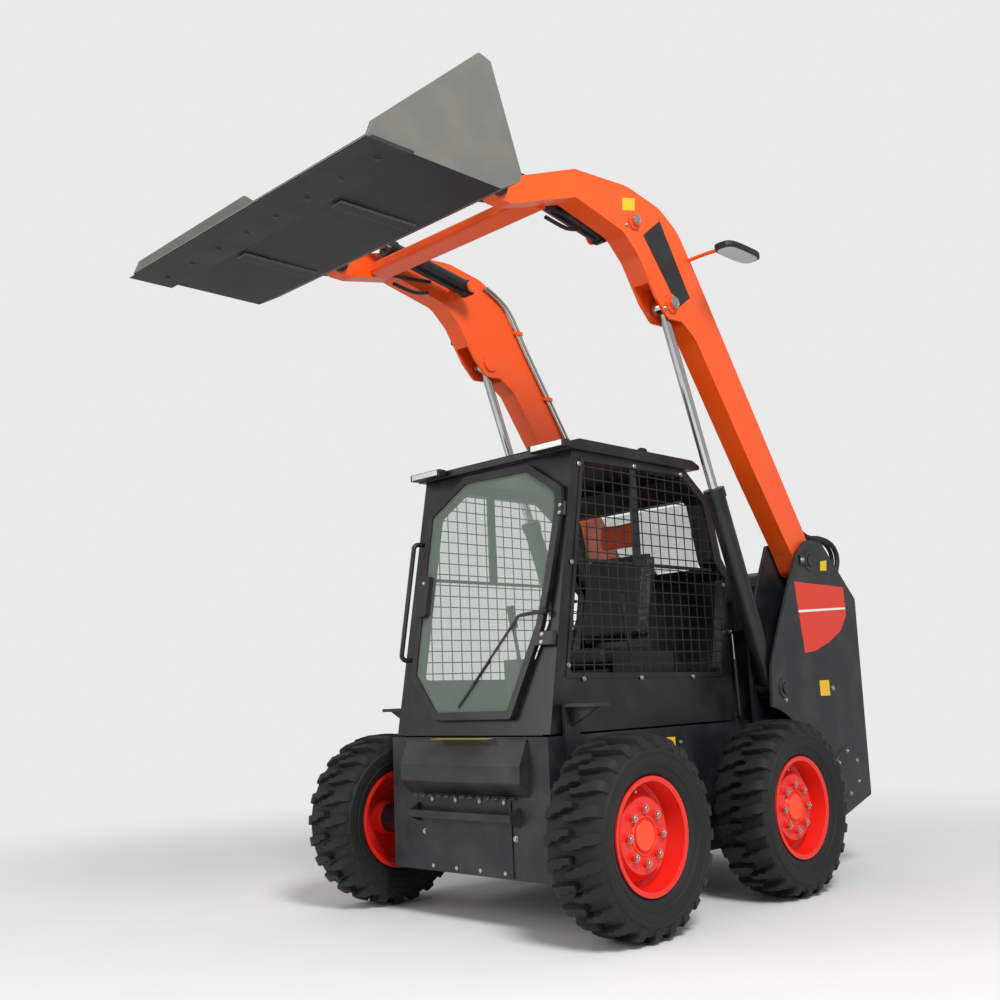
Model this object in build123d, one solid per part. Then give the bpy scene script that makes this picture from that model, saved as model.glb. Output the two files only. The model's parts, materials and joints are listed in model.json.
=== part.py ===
"""Skid steer loader: chassis, four wheels, lift arms with quick coupler and bucket, cab, hood and rear door.

Millimetres.  The machine is drawn with x = 0 midway between the axles, y = 0 on the centre line and
z = 0 on the axle line, +X forward, +Y left, +Z up.  save() then moves every piece so that the origin is
on the ground under the middle of the overall length.
"""
import os
from math import atan2, cos, degrees, hypot, radians, sin

from build123d import *

# ---- wheels -------------------------------------------------------------------------------------------
WHEELBASE = 1093.0
TYRE_D = 772.0
TYRE_W = 264.0
WHEEL_Y = 735.0              # centre plane of a tyre from the centre line
BEAD_D = 419.0               # bead seat of a 16.5 inch rim
RIM_W = 210.0                # over the flanges
RIM_FLANGE_D = 445.0
RIM_WALL = 7.0
HUB_R = 78.0
AXLE_TUBE_R = 68.0

# ---- chassis ------------------------------------------------------------------------------------------
CHASSIS_HALF = 478.0         # outside of the chain cases and side plates
CHASSIS_BELLY = -183.0       # heights are from the axle line
CHASSIS_TOP = 377.0
CHASSIS_FRONT = 718.0
CHAIN_CASE_W = 165.0
CHAIN_CASE_TOP = 180.0
PLATE = 12.0
BELLY_PLATE = 10.0
FRONT_HOUSING_HALF = 365.0
STOP_TOP = 503.0             # pads that the lowered arms rest above
REAR_FRAME_X = -1440.0
TOW_Y = 380.0                # tow bores in the rear cross beam
TOW_R = 14.0

# ---- uprights that carry the arms ----------------------------------------------------------------------
UPRIGHT_OUT = 662.0          # inner face of the outer plate
UPRIGHT_IN = 532.0           # outer face of the inner plate
UPRIGHT_PLATE = 14.0
ARCH_GAP = 62.0              # from the tyre to the wheel arch

# ---- lift arms ----------------------------------------------------------------------------------------
ARM_OUT = 650.0
ARM_IN = 545.0
ARM_PIVOT = (-1080.0, 1152.0)
ARM_PIVOT_R = 92.0
ARM_PLATE = 12.0
CREASE_X = 570.0             # where the nose of the arm bends inwards
NOSE_OUT = 567.0
NOSE_IN = 497.0
TIP = (950.0, 2595.0)        # bucket pivot
TIP_R = 58.0
CROSS_BEAM = (640.0, 760.0, 2590.0, 2646.0)   # x from, x to, z from, z to

# ---- cylinders ----------------------------------------------------------------------------------------
LIFT_BASE = (-744.0, 525.0)
LIFT_EYE = (-70.0, 2295.0)
LIFT_Y = (ARM_OUT + ARM_IN) / 2
LIFT_BARREL = (45.0, 1006.0)     # radius, length from base pin to gland
LIFT_ROD = (22.5, 1010.0)        # radius, length from eye to tail
TILT_BASE = (180.0, 2630.0)
TILT_Y = 450.0
TILT_CRANK = (185.0, 70.0)       # from the bucket pivot to the rod's eye: length, angle
TILT_BARREL = (42.0, 540.0)
TILT_ROD = (20.0, 500.0)
PIN_R = 25.0
PIN_GAP = 0.5                    # radial, pin in eye
ROD_GAP = 1.0                    # radial, rod in barrel
SIDE_GAP = 5.0                   # beside an eye or between moving plates

# ---- bucket -------------------------------------------------------------------------------------------
BUCKET_HALF = 812.0
BUCKET_PLATE = 11.0
BUCKET_SIDE = 12.0
BUCKET_BACK = (1080.0, 2514.0)   # foot of the flat back
BACK_LEAN = 19.4                 # of the back, forward from upright
BUCKET_HEEL = (1196.0, 2418.0)
FLOOR_FRONT = (1836.0, 2413.0)
EDGE_TIP_X = 1847.0
EDGE_DEEP = 205.0
EDGE_PLATE = 14.0
EDGE_HALF = 830.0

# ---- cab ----------------------------------------------------------------------------------------------
CAB_HALF = 470.0
CAB_POST = 45.0                  # thickness of the side frames
CAB_FLOOR = 385.0
CAB_ROOF = 1572.0                # underside of the roof panel
ROOF_THICK = 48.0
ROOF_HALF = 492.0
CAB_LEAN = 10.45                 # of the front, back from upright
FRONT_FOOT = (660.0, 657.0)      # a point of the door's plane
DOOR_GAP = 5.0
DOOR_THICK = 24.0
GLASS = 6.0
DOOR_HINGE_Y = 480.0
CAB_HINGE = (-800.0, 870.0)
STRUT_FOOT = (-623.0, 402.0)
STRUT_TOP = (-606.0, 802.0)
STRUT_Y = 495.0
EYE_R = 13.0                     # bore of the lifting eyes on the roof

# ---- hood and rear door -------------------------------------------------------------------------------
HOOD_HALF = 508.0
HOOD_HINGE = (-868.0, 905.0)
HOOD_REAR_X = -1500.0
REAR_DOOR_HINGE = (-1530.0, 500.0)
REAR_DOOR_Z = (-30.0, 872.0)
KNUCKLE_R = 12.0

TYRE_R = TYRE_D / 2
REAR_X = REAR_DOOR_HINGE[0] - KNUCKLE_R
MID_LENGTH_X = (EDGE_TIP_X + REAR_X) / 2
NOSE_STRAIGHT_X = TIP[0] - TIP_R - 6
LIFT_RISE = degrees(atan2(LIFT_EYE[1] - LIFT_BASE[1], LIFT_EYE[0] - LIFT_BASE[0]))
LIFT_LENGTH = hypot(LIFT_EYE[0] - LIFT_BASE[0], LIFT_EYE[1] - LIFT_BASE[1])
TILT_EYE = (TIP[0] + TILT_CRANK[0] * cos(radians(TILT_CRANK[1])),
            TIP[1] + TILT_CRANK[0] * sin(radians(TILT_CRANK[1])))
SIDES = (("left", 1), ("right", -1))
ENDS = (("front", 1), ("rear", -1))


def save(name, shape):
    """Write one piece, moved to the part's own origin on the ground."""
    export_step(Pos(-MID_LENGTH_X, 0, TYRE_R) * shape, f"parts/{name}.step")


def outline(rows):
    """Closed face from rows of (along, up) or (along, up, corner radius)."""
    points = [(row[0], row[1]) for row in rows]
    face = make_face(Polyline(*points, close=True))
    for row in rows:
        if len(row) == 3:
            corner = face.vertices().sort_by_distance((row[0], row[1], 0))[0]
            face = fillet(corner, row[2])
    return face


def plate(face, y_low, y_high):
    """A face drawn as x and z, made into a plate between two heights of y."""
    stand = Plane(origin=(0, y_high, 0), x_dir=(1, 0, 0), z_dir=(0, -1, 0))
    return extrude(stand * face, amount=y_high - y_low)


def block(x, y, z):
    """A box from (low, high) pairs."""
    size = (x[1] - x[0], y[1] - y[0], z[1] - z[0])
    return Pos((x[0] + x[1]) / 2, (y[0] + y[1]) / 2, (z[0] + z[1]) / 2) * Box(*size)


def shaft(at, radius, y_low, y_high):
    """A round bar along Y through the point (x, z)."""
    middle = Pos(at[0], (y_low + y_high) / 2, at[1])
    return middle * Rot(90, 0, 0) * Cylinder(radius, y_high - y_low)


def turned(face):
    """Revolve a face drawn as (outwards along the axle, radius) about the axle."""
    return Rot(0, 0, 90) * revolve(face, Axis.X)


def strut(foot, rise, radius, start, end, y):
    """A round bar in the x-z plane, from start to end along a line that rises at an angle from foot."""
    bar = Pos(0, 0, (start + end) / 2) * Cylinder(radius, end - start)
    return Pos(foot[0], y, foot[1]) * Rot(0, 90 - rise, 0) * bar


def on_side(shape, side):
    """The same piece on the left (1) or the right (-1)."""
    return shape if side > 0 else mirror(shape, about=Plane.XZ)


def pair(shape):
    """A piece and its mirror image."""
    return shape + mirror(shape, about=Plane.XZ)


def front_plane(out):
    """Plane parallel to the door, out in front of its glass: local x is y, local y runs up the slope."""
    lean = radians(CAB_LEAN)
    foot = (FRONT_FOOT[0] + out * cos(lean), 0, FRONT_FOOT[1] + out * sin(lean))
    return Plane(origin=foot, x_dir=(0, 1, 0), z_dir=(cos(lean), 0, sin(lean)))


def up_slope(z):
    """Distance up the door's slope of a height z."""
    return (z - FRONT_FOOT[1]) / cos(radians(CAB_LEAN))


def front_x(z):
    """Where the door's glass is at a height z."""
    return FRONT_FOOT[0] - (z - FRONT_FOOT[1]) * sin(radians(CAB_LEAN)) / cos(radians(CAB_LEAN))


def behind_back(up, out):
    """Point (x, z) up along the bucket's flat back and out behind it."""
    lean = radians(BACK_LEAN)
    return (BUCKET_BACK[0] + up * sin(lean) - out * cos(lean),
            BUCKET_BACK[1] + up * cos(lean) + out * sin(lean))


# ---- wheels -------------------------------------------------------------------------------------------
def tyre():
    half = TYRE_W / 2
    bead = BEAD_D / 2 + 1.0
    shoulder = TYRE_R - 22
    toe = RIM_W / 2 - 12
    over_lip = RIM_FLANGE_D / 2 + 2
    outer = Line((-toe, bead), (toe, bead))
    outer += Line((toe, bead), (toe, over_lip))
    outer += ThreePointArc((toe, over_lip), (half, bead + 86), (half - 14, shoulder))
    outer += Line((half - 14, shoulder), (half - 28, TYRE_R - 6))
    outer += ThreePointArc((half - 28, TYRE_R - 6), (0, TYRE_R), (28 - half, TYRE_R - 6))
    outer += Line((28 - half, TYRE_R - 6), (14 - half, shoulder))
    outer += ThreePointArc((14 - half, shoulder), (-half, bead + 86), (-toe, over_lip))
    outer += Line((-toe, over_lip), (-toe, bead))
    return turned(make_face(outer))


def rim():
    """Drop-centre rim with a dished disc, hub and cap; +x of the profile points outwards."""
    half = RIM_W / 2
    seat = BEAD_D / 2
    lip = RIM_FLANGE_D / 2
    well = seat - 20
    outside = [(-half, lip), (8 - half, lip), (10 - half, seat), (45 - half, seat - 1), (58 - half, well),
               (-5, well), (10, seat - 1), (half - 10, seat), (half - 8, lip), (half, lip)]
    inside = [(half, lip - 8), (half - 4, seat - RIM_WALL), (12, seat - RIM_WALL - 3),
              (-3, well - RIM_WALL), (55 - half, well - RIM_WALL), (42 - half, seat - RIM_WALL - 1),
              (4 - half, seat - RIM_WALL), (-half, lip - 8)]
    barrel = turned(outline(outside + inside))
    disc = turned(outline([(-24, well - 3), (-12, well - 3), (34, 158), (58, 142), (58, 0), (44, 0),
                           (44, 134), (24, 148)]))
    hub = turned(outline([(-28, 0), (-28, HUB_R), (44, HUB_R), (44, 0)]))
    cap = turned(outline([(58, 0), (58, 62), (66, 58), (66, 0)]))
    nuts = [Rot(0, 0, 0) * shaft((101.6 * cos(radians(a)), 101.6 * sin(radians(a))), 14, 58, 76)
            for a in range(0, 360, 45)]
    whole = barrel + disc + hub + cap
    for nut in nuts:
        whole += nut
    return whole


def make_wheels():
    for end, along in ENDS:
        for name, side in SIDES:
            centre = Pos(along * WHEELBASE / 2, side * WHEEL_Y, 0)
            save(f"tyre_{end}_{name}", centre * tyre())
            save(f"rim_{end}_{name}", centre * on_side(rim(), side))


# ---- chassis ------------------------------------------------------------------------------------------
def chassis_tub():
    """Chain cases, belly, side plates, front plate, firewall and the stops that the arms come down to."""
    rear = -WHEELBASE / 2 - TYRE_R - 220
    case = block((rear, CHASSIS_FRONT - PLATE), (CHASSIS_HALF - CHAIN_CASE_W, CHASSIS_HALF),
                 (CHASSIS_BELLY, CHAIN_CASE_TOP))
    side = block((rear, CHASSIS_FRONT - PLATE), (CHASSIS_HALF - PLATE, CHASSIS_HALF),
                 (CHAIN_CASE_TOP, CHASSIS_TOP))
    post = block((540, 630), (CHASSIS_HALF, CHASSIS_HALF + 16), (240, STOP_TOP))
    shelf = plate(outline([(540, STOP_TOP), (630, STOP_TOP), (630, STOP_TOP - 14), (540, STOP_TOP - 14)]),
                  CHASSIS_HALF + 16, ARM_OUT + 5)
    web = extrude(Plane(origin=(579, 0, 0), x_dir=(0, 1, 0), z_dir=(1, 0, 0)) * make_face(Polyline(
        (CHASSIS_HALF + 16, STOP_TOP - 14), (ARM_OUT - 10, STOP_TOP - 14), (CHASSIS_HALF + 16, STOP_TOP - 90),
        close=True)), amount=12)
    lug = plate(outline([(STRUT_FOOT[0] - 26, CHASSIS_TOP - 60), (STRUT_FOOT[0] + 26, CHASSIS_TOP - 60),
                         (STRUT_FOOT[0] + 18, STRUT_FOOT[1] + 18), (STRUT_FOOT[0] - 18, STRUT_FOOT[1] + 18)]),
                CHASSIS_HALF, CHASSIS_HALF + 6)
    stud = shaft(STRUT_FOOT, 5, CHASSIS_HALF + 6, STRUT_Y + 9)
    tub = pair(case + side + post + shelf + web + lug + stud)
    tub += block((REAR_FRAME_X, CHASSIS_FRONT - PLATE), (-CHASSIS_HALF + 10, CHASSIS_HALF - 10),
                 (CHASSIS_BELLY, CHASSIS_BELLY + BELLY_PLATE))
    tub += block((CHASSIS_FRONT - PLATE, CHASSIS_FRONT), (-CHASSIS_HALF, CHASSIS_HALF),
                 (CHASSIS_BELLY, CHASSIS_TOP))
    tub += block((-780, -770), (-CHASSIS_HALF + PLATE, CHASSIS_HALF - PLATE), (CHASSIS_BELLY, 830))
    return tub


def front_housing():
    """Sloping cover across the front plate."""
    front = CHASSIS_FRONT
    rows = [(front, 139), (front + 54, 197, 8), (front + 51, 268, 12), (front + 6, 368), (front, 372)]
    return plate(outline(rows), -FRONT_HOUSING_HALF, FRONT_HOUSING_HALF)


def front_step():
    """Bolted access plate with a serrated step across it."""
    face = CHASSIS_FRONT
    cover = block((face, face + 5), (-262, 262), (-178, 132))
    tread = block((face + 5, face + 60), (-300, 300), (44, 50))
    lip = block((face + 54, face + 60), (-300, 300), (50, 74))
    cheek = plate(outline([(face, 20), (face, 100), (face + 60, 74), (face + 60, 44)]), 300, 308)
    return cover + tread + lip + pair(cheek) + block((face, face + 5), (-308, 308), (44, 74))


def engine():
    block_body = block((-1290, -830), (-240, 240), (-110, 470))
    block_body = fillet(block_body.edges().filter_by(Axis.Y), 30)
    feet = pair(block((-1250, -870), (200, 240), (CHASSIS_BELLY + BELLY_PLATE, -110)))
    return block_body + feet


def axle_housings():
    """Four fixed axle tubes with flanges on the chain cases."""
    tube = shaft((WHEELBASE / 2, 0), AXLE_TUBE_R, CHASSIS_HALF, WHEEL_Y - 28 - SIDE_GAP)
    flange = shaft((WHEELBASE / 2, 0), AXLE_TUBE_R + 32, CHASSIS_HALF, CHASSIS_HALF + 18)
    one_side = tube + flange
    one_side += mirror(one_side, about=Plane.YZ)
    return pair(one_side)


def upright():
    """Left upright: outer and inner plate, rear web, rail to the chassis and the two pins."""
    arch_r = TYRE_R + ARCH_GAP
    axle_x = -WHEELBASE / 2
    skin_rows = [(-1051, 1253, 30), (-1204, 1258, 30), (-1517, 972, 25), (-1502, -32, 12), (-1165, -125, 12),
                 (axle_x - (arch_r ** 2 - 125 ** 2) ** 0.5, -125), (axle_x, 0), (-624, 437), (-645, 638, 40),
                 (-794, 912, 60), (-958, 1187, 60)]
    arch = Pos(axle_x, 0) * Circle(arch_r)
    skin = outline(skin_rows) - arch
    outer = plate(skin, UPRIGHT_OUT, UPRIGHT_OUT + UPRIGHT_PLATE)
    core_rows = [(-973, 1240, 30), (-1204, 1258, 30), (-1480, 990, 25), (-1480, -110), (-1165, -125),
                 (-690, 300), (-690, 780, 40), (-778, 971, 40), (-917, 1236, 20)]
    inner = plate(outline(core_rows), UPRIGHT_IN - UPRIGHT_PLATE, UPRIGHT_IN)
    web = plate(outline([(-1204, 1252), (-1508, 970), (-1494, -28), (-1484, -28), (-1494, 964),
                         (-1200, 1240)]), UPRIGHT_IN, UPRIGHT_OUT)
    sill = plate(outline([(-1490, -24), (-1170, -112), (-1173, -122), (-1493, -34)]), UPRIGHT_IN, UPRIGHT_OUT)
    rail = block((REAR_FRAME_X, -720), (CHASSIS_HALF, UPRIGHT_IN - UPRIGHT_PLATE), (20, 300))
    pivot = shaft(ARM_PIVOT, 30, UPRIGHT_IN - UPRIGHT_PLATE - 8, UPRIGHT_OUT + UPRIGHT_PLATE + 10)
    base = shaft(LIFT_BASE, PIN_R, UPRIGHT_IN - UPRIGHT_PLATE - 6, UPRIGHT_OUT + UPRIGHT_PLATE + 12)
    hinge = shaft(CAB_HINGE, 16, CAB_HALF + 6, UPRIGHT_IN - UPRIGHT_PLATE)
    return outer + inner + web + sill + rail + pivot + base + hinge


def rear_bumper():
    """Rear cross beam with a tow bore down through each end."""
    beam = block((-1496, REAR_FRAME_X), (-518, 518), (-150, -40))
    beam = fillet(beam.edges().filter_by(Axis.Y), 12)
    for y in (-TOW_Y, TOW_Y):
        beam -= Pos(-1468, y, -95) * Cylinder(TOW_R, 120)
    return beam


def make_chassis():
    save("chassis_tub", chassis_tub())
    save("front_housing", front_housing())
    save("front_step", front_step())
    save("engine", engine())
    save("axle_housings", axle_housings())
    save("rear_bumper", rear_bumper())
    for name, side in SIDES:
        save(f"upright_{name}", on_side(upright(), side))


# ---- lift arms ----------------------------------------------------------------------------------------
def lift_arm():
    """Left arm: curved box beam with a fork for the lift rod and a nose that tapers inwards to its tip."""
    rows = [(CREASE_X, 2759), (210, 2790, 260), (-30, 2750, 200), (-160, 2670, 200), (-290, 2490, 300),
            (-1090, 1300, 60), (-1172, 1155, 40), (-1120, 1068, 40), (-1010, 1080, 60), (-956, 1178, 60),
            (-669, 1565, 600), (-250, 2160, 60), (-150, 2226, 20), (-40, 2220, 50), (40, 2300, 40),
            (150, 2470, 60), (250, 2560, 120), (CREASE_X, 2629)]
    beam = plate(outline(rows), ARM_IN, ARM_OUT)
    fork = plate(outline([(-168, 2080), (-168, 2330), (-110, 2378), (70, 2378), (140, 2300), (140, 2080)]),
                 ARM_IN + ARM_PLATE, ARM_OUT - ARM_PLATE)
    root = Plane(origin=(CREASE_X, 0, 0), x_dir=(0, 1, 0), z_dir=(1, 0, 0))
    end = Plane(origin=(NOSE_STRAIGHT_X, 0, 0), x_dir=(0, 1, 0), z_dir=(1, 0, 0))
    root_face = make_face(Polyline((ARM_IN, 2629), (ARM_OUT, 2629), (ARM_OUT, 2759), (ARM_IN, 2759), close=True))
    low, high = TIP[1] - TIP_R, TIP[1] + TIP_R
    end_face = make_face(Polyline((NOSE_IN, low), (NOSE_OUT, low), (NOSE_OUT, high), (NOSE_IN, high), close=True))
    nose = loft([root * root_face, end * end_face], ruled=True)
    tip = shaft(TIP, TIP_R, NOSE_IN, NOSE_OUT)
    arm = beam - fork + nose + tip + block((NOSE_STRAIGHT_X, TIP[0]), (NOSE_IN, NOSE_OUT), (low, high))
    for at, radius in ((LIFT_EYE, 44), (TILT_BASE, 40)):
        arm += shaft(at, radius, ARM_OUT, ARM_OUT + 10)
        arm += shaft(at, radius - 16, ARM_OUT + 10, ARM_OUT + 24)
    arm += shaft(LIFT_EYE, 44, ARM_IN - 10, ARM_IN)
    arm += shaft(TILT_BASE, 40, ARM_IN - 26, ARM_IN)
    arm += shaft(TILT_BASE, PIN_R - 3, TILT_Y - 42, ARM_IN - 26)
    arm += shaft(TILT_BASE, 32, TILT_Y - 54, TILT_Y - 42)
    arm -= shaft(ARM_PIVOT, 30 + PIN_GAP, ARM_IN, ARM_OUT)
    arm -= shaft(TIP, PIN_R + PIN_GAP, NOSE_IN - 1, NOSE_OUT + 1)
    return arm


def nose_inner_face(x):
    """How far out the inner face of the arm's nose is at x."""
    return ARM_IN - (ARM_IN - NOSE_IN) * (x - CREASE_X) / (NOSE_STRAIGHT_X - CREASE_X)


def cross_beam():
    """Flat box beam between the noses, its ends cut to their slant."""
    x_low, x_high, z_low, z_high = CROSS_BEAM
    beam = plate(outline([(x_low, z_low, 14), (x_high, z_low, 14), (x_high, z_high, 14), (x_low, z_high, 14)]),
                 -ARM_IN, ARM_IN)
    wide_end, narrow_end = nose_inner_face(x_low), nose_inner_face(x_high)
    plan = make_face(Polyline((x_low, -wide_end), (x_high, -narrow_end), (x_high, narrow_end),
                              (x_low, wide_end), close=True))
    return beam & (Pos(0, 0, z_low - 1) * extrude(plan, amount=z_high - z_low + 2))


def mirrors():
    stalk = Pos(-230, (ARM_OUT + 880) / 2, 2560) * Rot(90, 0, 0) * Cylinder(9, 880 - ARM_OUT)
    shell = fillet(block((-330, -190), (880, 960), (2520, 2580)).edges(), 12)
    return pair(stalk + shell)


def make_arms():
    for name, side in SIDES:
        save(f"lift_arm_{name}", on_side(lift_arm(), side))
    save("arm_cross_beam", cross_beam())
    save("mirrors", mirrors())


# ---- cylinders ----------------------------------------------------------------------------------------
def cylinder_pair(foot, eye, y, barrel, rod, pin_r, width):
    """Barrel and rod of one hydraulic cylinder, from its base pin to the eye of its rod."""
    rise = degrees(atan2(eye[1] - foot[1], eye[0] - foot[0]))
    length = hypot(eye[0] - foot[0], eye[1] - foot[1])
    radius, reach = barrel
    rod_r, rod_l = rod
    body = strut(foot, rise, radius, 30, reach, y)
    body += strut(foot, rise, radius + 6, reach - 46, reach, y)
    body += shaft(foot, radius, y - width / 2, y + width / 2)
    body -= strut(foot, rise, rod_r + ROD_GAP, 90, reach + 1, y)
    body -= shaft(foot, pin_r + PIN_GAP, y - width / 2 - 1, y + width / 2 + 1)
    bar = strut(foot, rise, rod_r, length - rod_l, length, y)
    bar += shaft(eye, radius - 5, y - width / 2, y + width / 2)
    return body, bar


def make_cylinders():
    lift = cylinder_pair(LIFT_BASE, LIFT_EYE, LIFT_Y, LIFT_BARREL, LIFT_ROD, PIN_R, 66)
    tilt = cylinder_pair(TILT_BASE, TILT_EYE, TILT_Y, TILT_BARREL, TILT_ROD, PIN_R - 3, 50)
    for name, side in SIDES:
        for kind, (body, bar) in (("lift", lift), ("tilt", tilt)):
            save(f"{kind}_barrel_{name}", on_side(body, side))
            save(f"{kind}_rod_{name}", on_side(bar, side))


# ---- bucket and coupler -------------------------------------------------------------------------------
def bucket_shell():
    top = behind_back(436, 0)
    sill = (BUCKET_HEEL[0] - 107, BUCKET_HEEL[1] + 61)
    shell = plate(outline([FLOOR_FRONT, BUCKET_HEEL, sill, BUCKET_BACK, top, (top[0] + 61, top[1] + 15, 20),
                           (1812, 2478), (1832, 2424)]), -BUCKET_HALF, BUCKET_HALF)
    wall = BUCKET_PLATE
    hollow = outline([(2000, FLOOR_FRONT[1] + wall), (BUCKET_HEEL[0] + 4, BUCKET_HEEL[1] + wall),
                      (sill[0] + 12, sill[1] + 8), (BUCKET_BACK[0] + wall, BUCKET_BACK[1]),
                      (top[0] + wall, top[1] + 2), (top[0] + wall, 3200), (2000, 3200)])
    shell -= plate(hollow, BUCKET_SIDE - BUCKET_HALF, BUCKET_HALF - BUCKET_SIDE)
    wear = pair(plate(outline([(1230, 2418 - 9), (1230, 2418), (1600, 2412), (1600, 2412 - 9)]), 300, 360))
    return shell + wear


def cutting_edge():
    tip_z = FLOOR_FRONT[1] - EDGE_PLATE
    rear_x = EDGE_TIP_X - EDGE_DEEP
    slope = (BUCKET_HEEL[1] - FLOOR_FRONT[1]) / (FLOOR_FRONT[0] - BUCKET_HEEL[0])
    lift = slope * (FLOOR_FRONT[0] - rear_x)
    top_front = FLOOR_FRONT[1] - slope * 12
    rows = [(EDGE_TIP_X, tip_z), (EDGE_TIP_X - 24, top_front), (rear_x, FLOOR_FRONT[1] + lift),
            (rear_x, tip_z + lift)]
    return plate(outline(rows), -EDGE_HALF, EDGE_HALF)


def coupler():
    """Back plate with hooked top, and three ears a side for the arm's tip and the tilt rod's eye."""
    def at(rows):
        return outline([(*behind_back(row[0], row[1]), *row[2:]) for row in rows])
    frame = plate(at([(8, 0), (8, 16), (330, 16), (352, 40, 6), (366, 32, 6), (344, 0)]), -570, 570)
    tip_up, tip_out = 33.2, 149.5
    ear = at([(10, 16), (tip_up - 45, tip_out + 6, 30), (tip_up + 12, tip_out + 48, 36), (200, 188, 30),
              (250, 176, 34), (262, 110, 40), (280, 16)])
    low_ear = at([(10, 16), (tip_up - 45, tip_out + 6, 30), (tip_up + 12, tip_out + 48, 36),
                  (tip_up + 70, tip_out + 10, 40), (190, 16)])
    high_ear = at([(150, 16), (178, 120, 20), (192, 182, 30), (250, 176, 34), (262, 110, 40), (280, 16)])
    inner_face = NOSE_IN - SIDE_GAP - 1
    outer_face = NOSE_OUT + SIDE_GAP + 1
    one_side = plate(ear, inner_face - 12, inner_face)
    one_side += plate(low_ear, outer_face, outer_face + 12)
    one_side += plate(high_ear, TILT_Y - 42, TILT_Y - 30)
    one_side += shaft(TIP, PIN_R, inner_face - 4, outer_face + 22)
    one_side += shaft(TILT_EYE, 30, TILT_Y - 50, TILT_Y - 42)
    return frame + pair(one_side)


def make_bucket():
    save("bucket_shell", bucket_shell())
    save("cutting_edge", cutting_edge())
    save("coupler", coupler())


# ---- cab ----------------------------------------------------------------------------------------------
def side_window():
    return [(422, 1547), (-314, 1574 - 14), (-488, 1428), (-554, 1145), (-633, 1065), (-534, 592), (587, 605)]


def cab_frame():
    """Welded frame of two side frames, front posts, header, sill and rear wall."""
    front_out = -DOOR_GAP - DOOR_THICK / 2
    def front(z):
        return front_x(z) + front_out
    rows = [(front(CAB_FLOOR), CAB_FLOOR), (front(CAB_ROOF), CAB_ROOF), (-345, CAB_ROOF, 30), (-530, 1440, 60),
            (-600, 1160, 40), (-672, 1070, 30), (-706, 865, 60), (-666, 690, 60), (-600, CAB_FLOOR)]
    side = plate(outline(rows), CAB_HALF - CAB_POST, CAB_HALF)
    inset = 22
    window = [(422 - 6, CAB_ROOF - 38), (-300, CAB_ROOF - 38), (-462, 1420), (-528, 1150), (-605, 1060),
              (-516, 592 + inset), (587 - inset, 605 + inset)]
    side -= plate(outline([(*row, 30) for row in window]), CAB_HALF - CAB_POST - 1, CAB_HALF + 1)
    lug = plate(outline([(-640, 960), (-640, 800), (CAB_HINGE[0] - 10, CAB_HINGE[1] - 40, 30),
                         (CAB_HINGE[0] - 40, CAB_HINGE[1] + 10, 30), (CAB_HINGE[0] + 20, CAB_HINGE[1] + 44, 30)]),
                CAB_HALF + 14, CAB_HALF + 30)
    lug += block((-690, -644), (CAB_HALF, CAB_HALF + 14), (820, 930))
    lug -= shaft(CAB_HINGE, 16 + PIN_GAP, CAB_HALF, CAB_HALF + 40)
    stud = shaft(STRUT_TOP, 14, CAB_HALF, STRUT_Y - 9)
    frame = pair(side + lug + stud)
    thick = 46
    wide = CAB_HALF - CAB_POST
    height = up_slope(CAB_ROOF) - up_slope(CAB_FLOOR)
    middle = (up_slope(CAB_ROOF) + up_slope(CAB_FLOOR)) / 2
    wall = front_plane(front_out) * (Pos(0, middle) * Rectangle(2 * wide + 2, height))
    wall = extrude(wall, amount=-thick)
    opening = front_plane(front_out) * outline(
        [(-150, up_slope(1530), 20), (228, up_slope(1524), 20), (424, up_slope(1400), 20), (424, up_slope(860), 40),
         (262, up_slope(462), 20), (-200, up_slope(462), 20), (-372, up_slope(640), 30), (-372, up_slope(1390), 40)])
    frame += wall - extrude(opening, amount=-thick)
    back_rows = [(-345, CAB_ROOF), (-530, 1440), (-600, 1160), (-672, 1070), (-706, 865), (-666, 690),
                 (-600, CAB_FLOOR), (-560, CAB_FLOOR), (-626, 700), (-664, 865), (-634, 1058), (-562, 1140),
                 (-492, 1424), (-330, CAB_ROOF - 40)]
    back = plate(outline(back_rows), -wide - 1, wide + 1)
    back -= block((-700, -440), (-360, 360), (1120, 1450))
    return frame + back


def cab_roof():
    front = front_x(CAB_ROOF) + 14
    rows = [(front, CAB_ROOF), (front + 4, CAB_ROOF + 30, 10), (front - 60, CAB_ROOF + ROOF_THICK, 40),
            (-380, CAB_ROOF + ROOF_THICK, 60), (-478, CAB_ROOF + 10, 12), (-470, CAB_ROOF - 12), (-345, CAB_ROOF)]
    rows = rows[:5] + rows[6:]
    roof = plate(outline(rows), -ROOF_HALF, ROOF_HALF)
    eye = plate(outline([(-150, CAB_ROOF + ROOF_THICK - 2), (-140, CAB_ROOF + ROOF_THICK + 44, 18),
                         (-86, CAB_ROOF + ROOF_THICK + 44, 18), (-76, CAB_ROOF + ROOF_THICK - 2)]), 395, 407)
    eye -= shaft((-113, CAB_ROOF + ROOF_THICK + 20), EYE_R, 390, 410)
    return roof + pair(eye)


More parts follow.
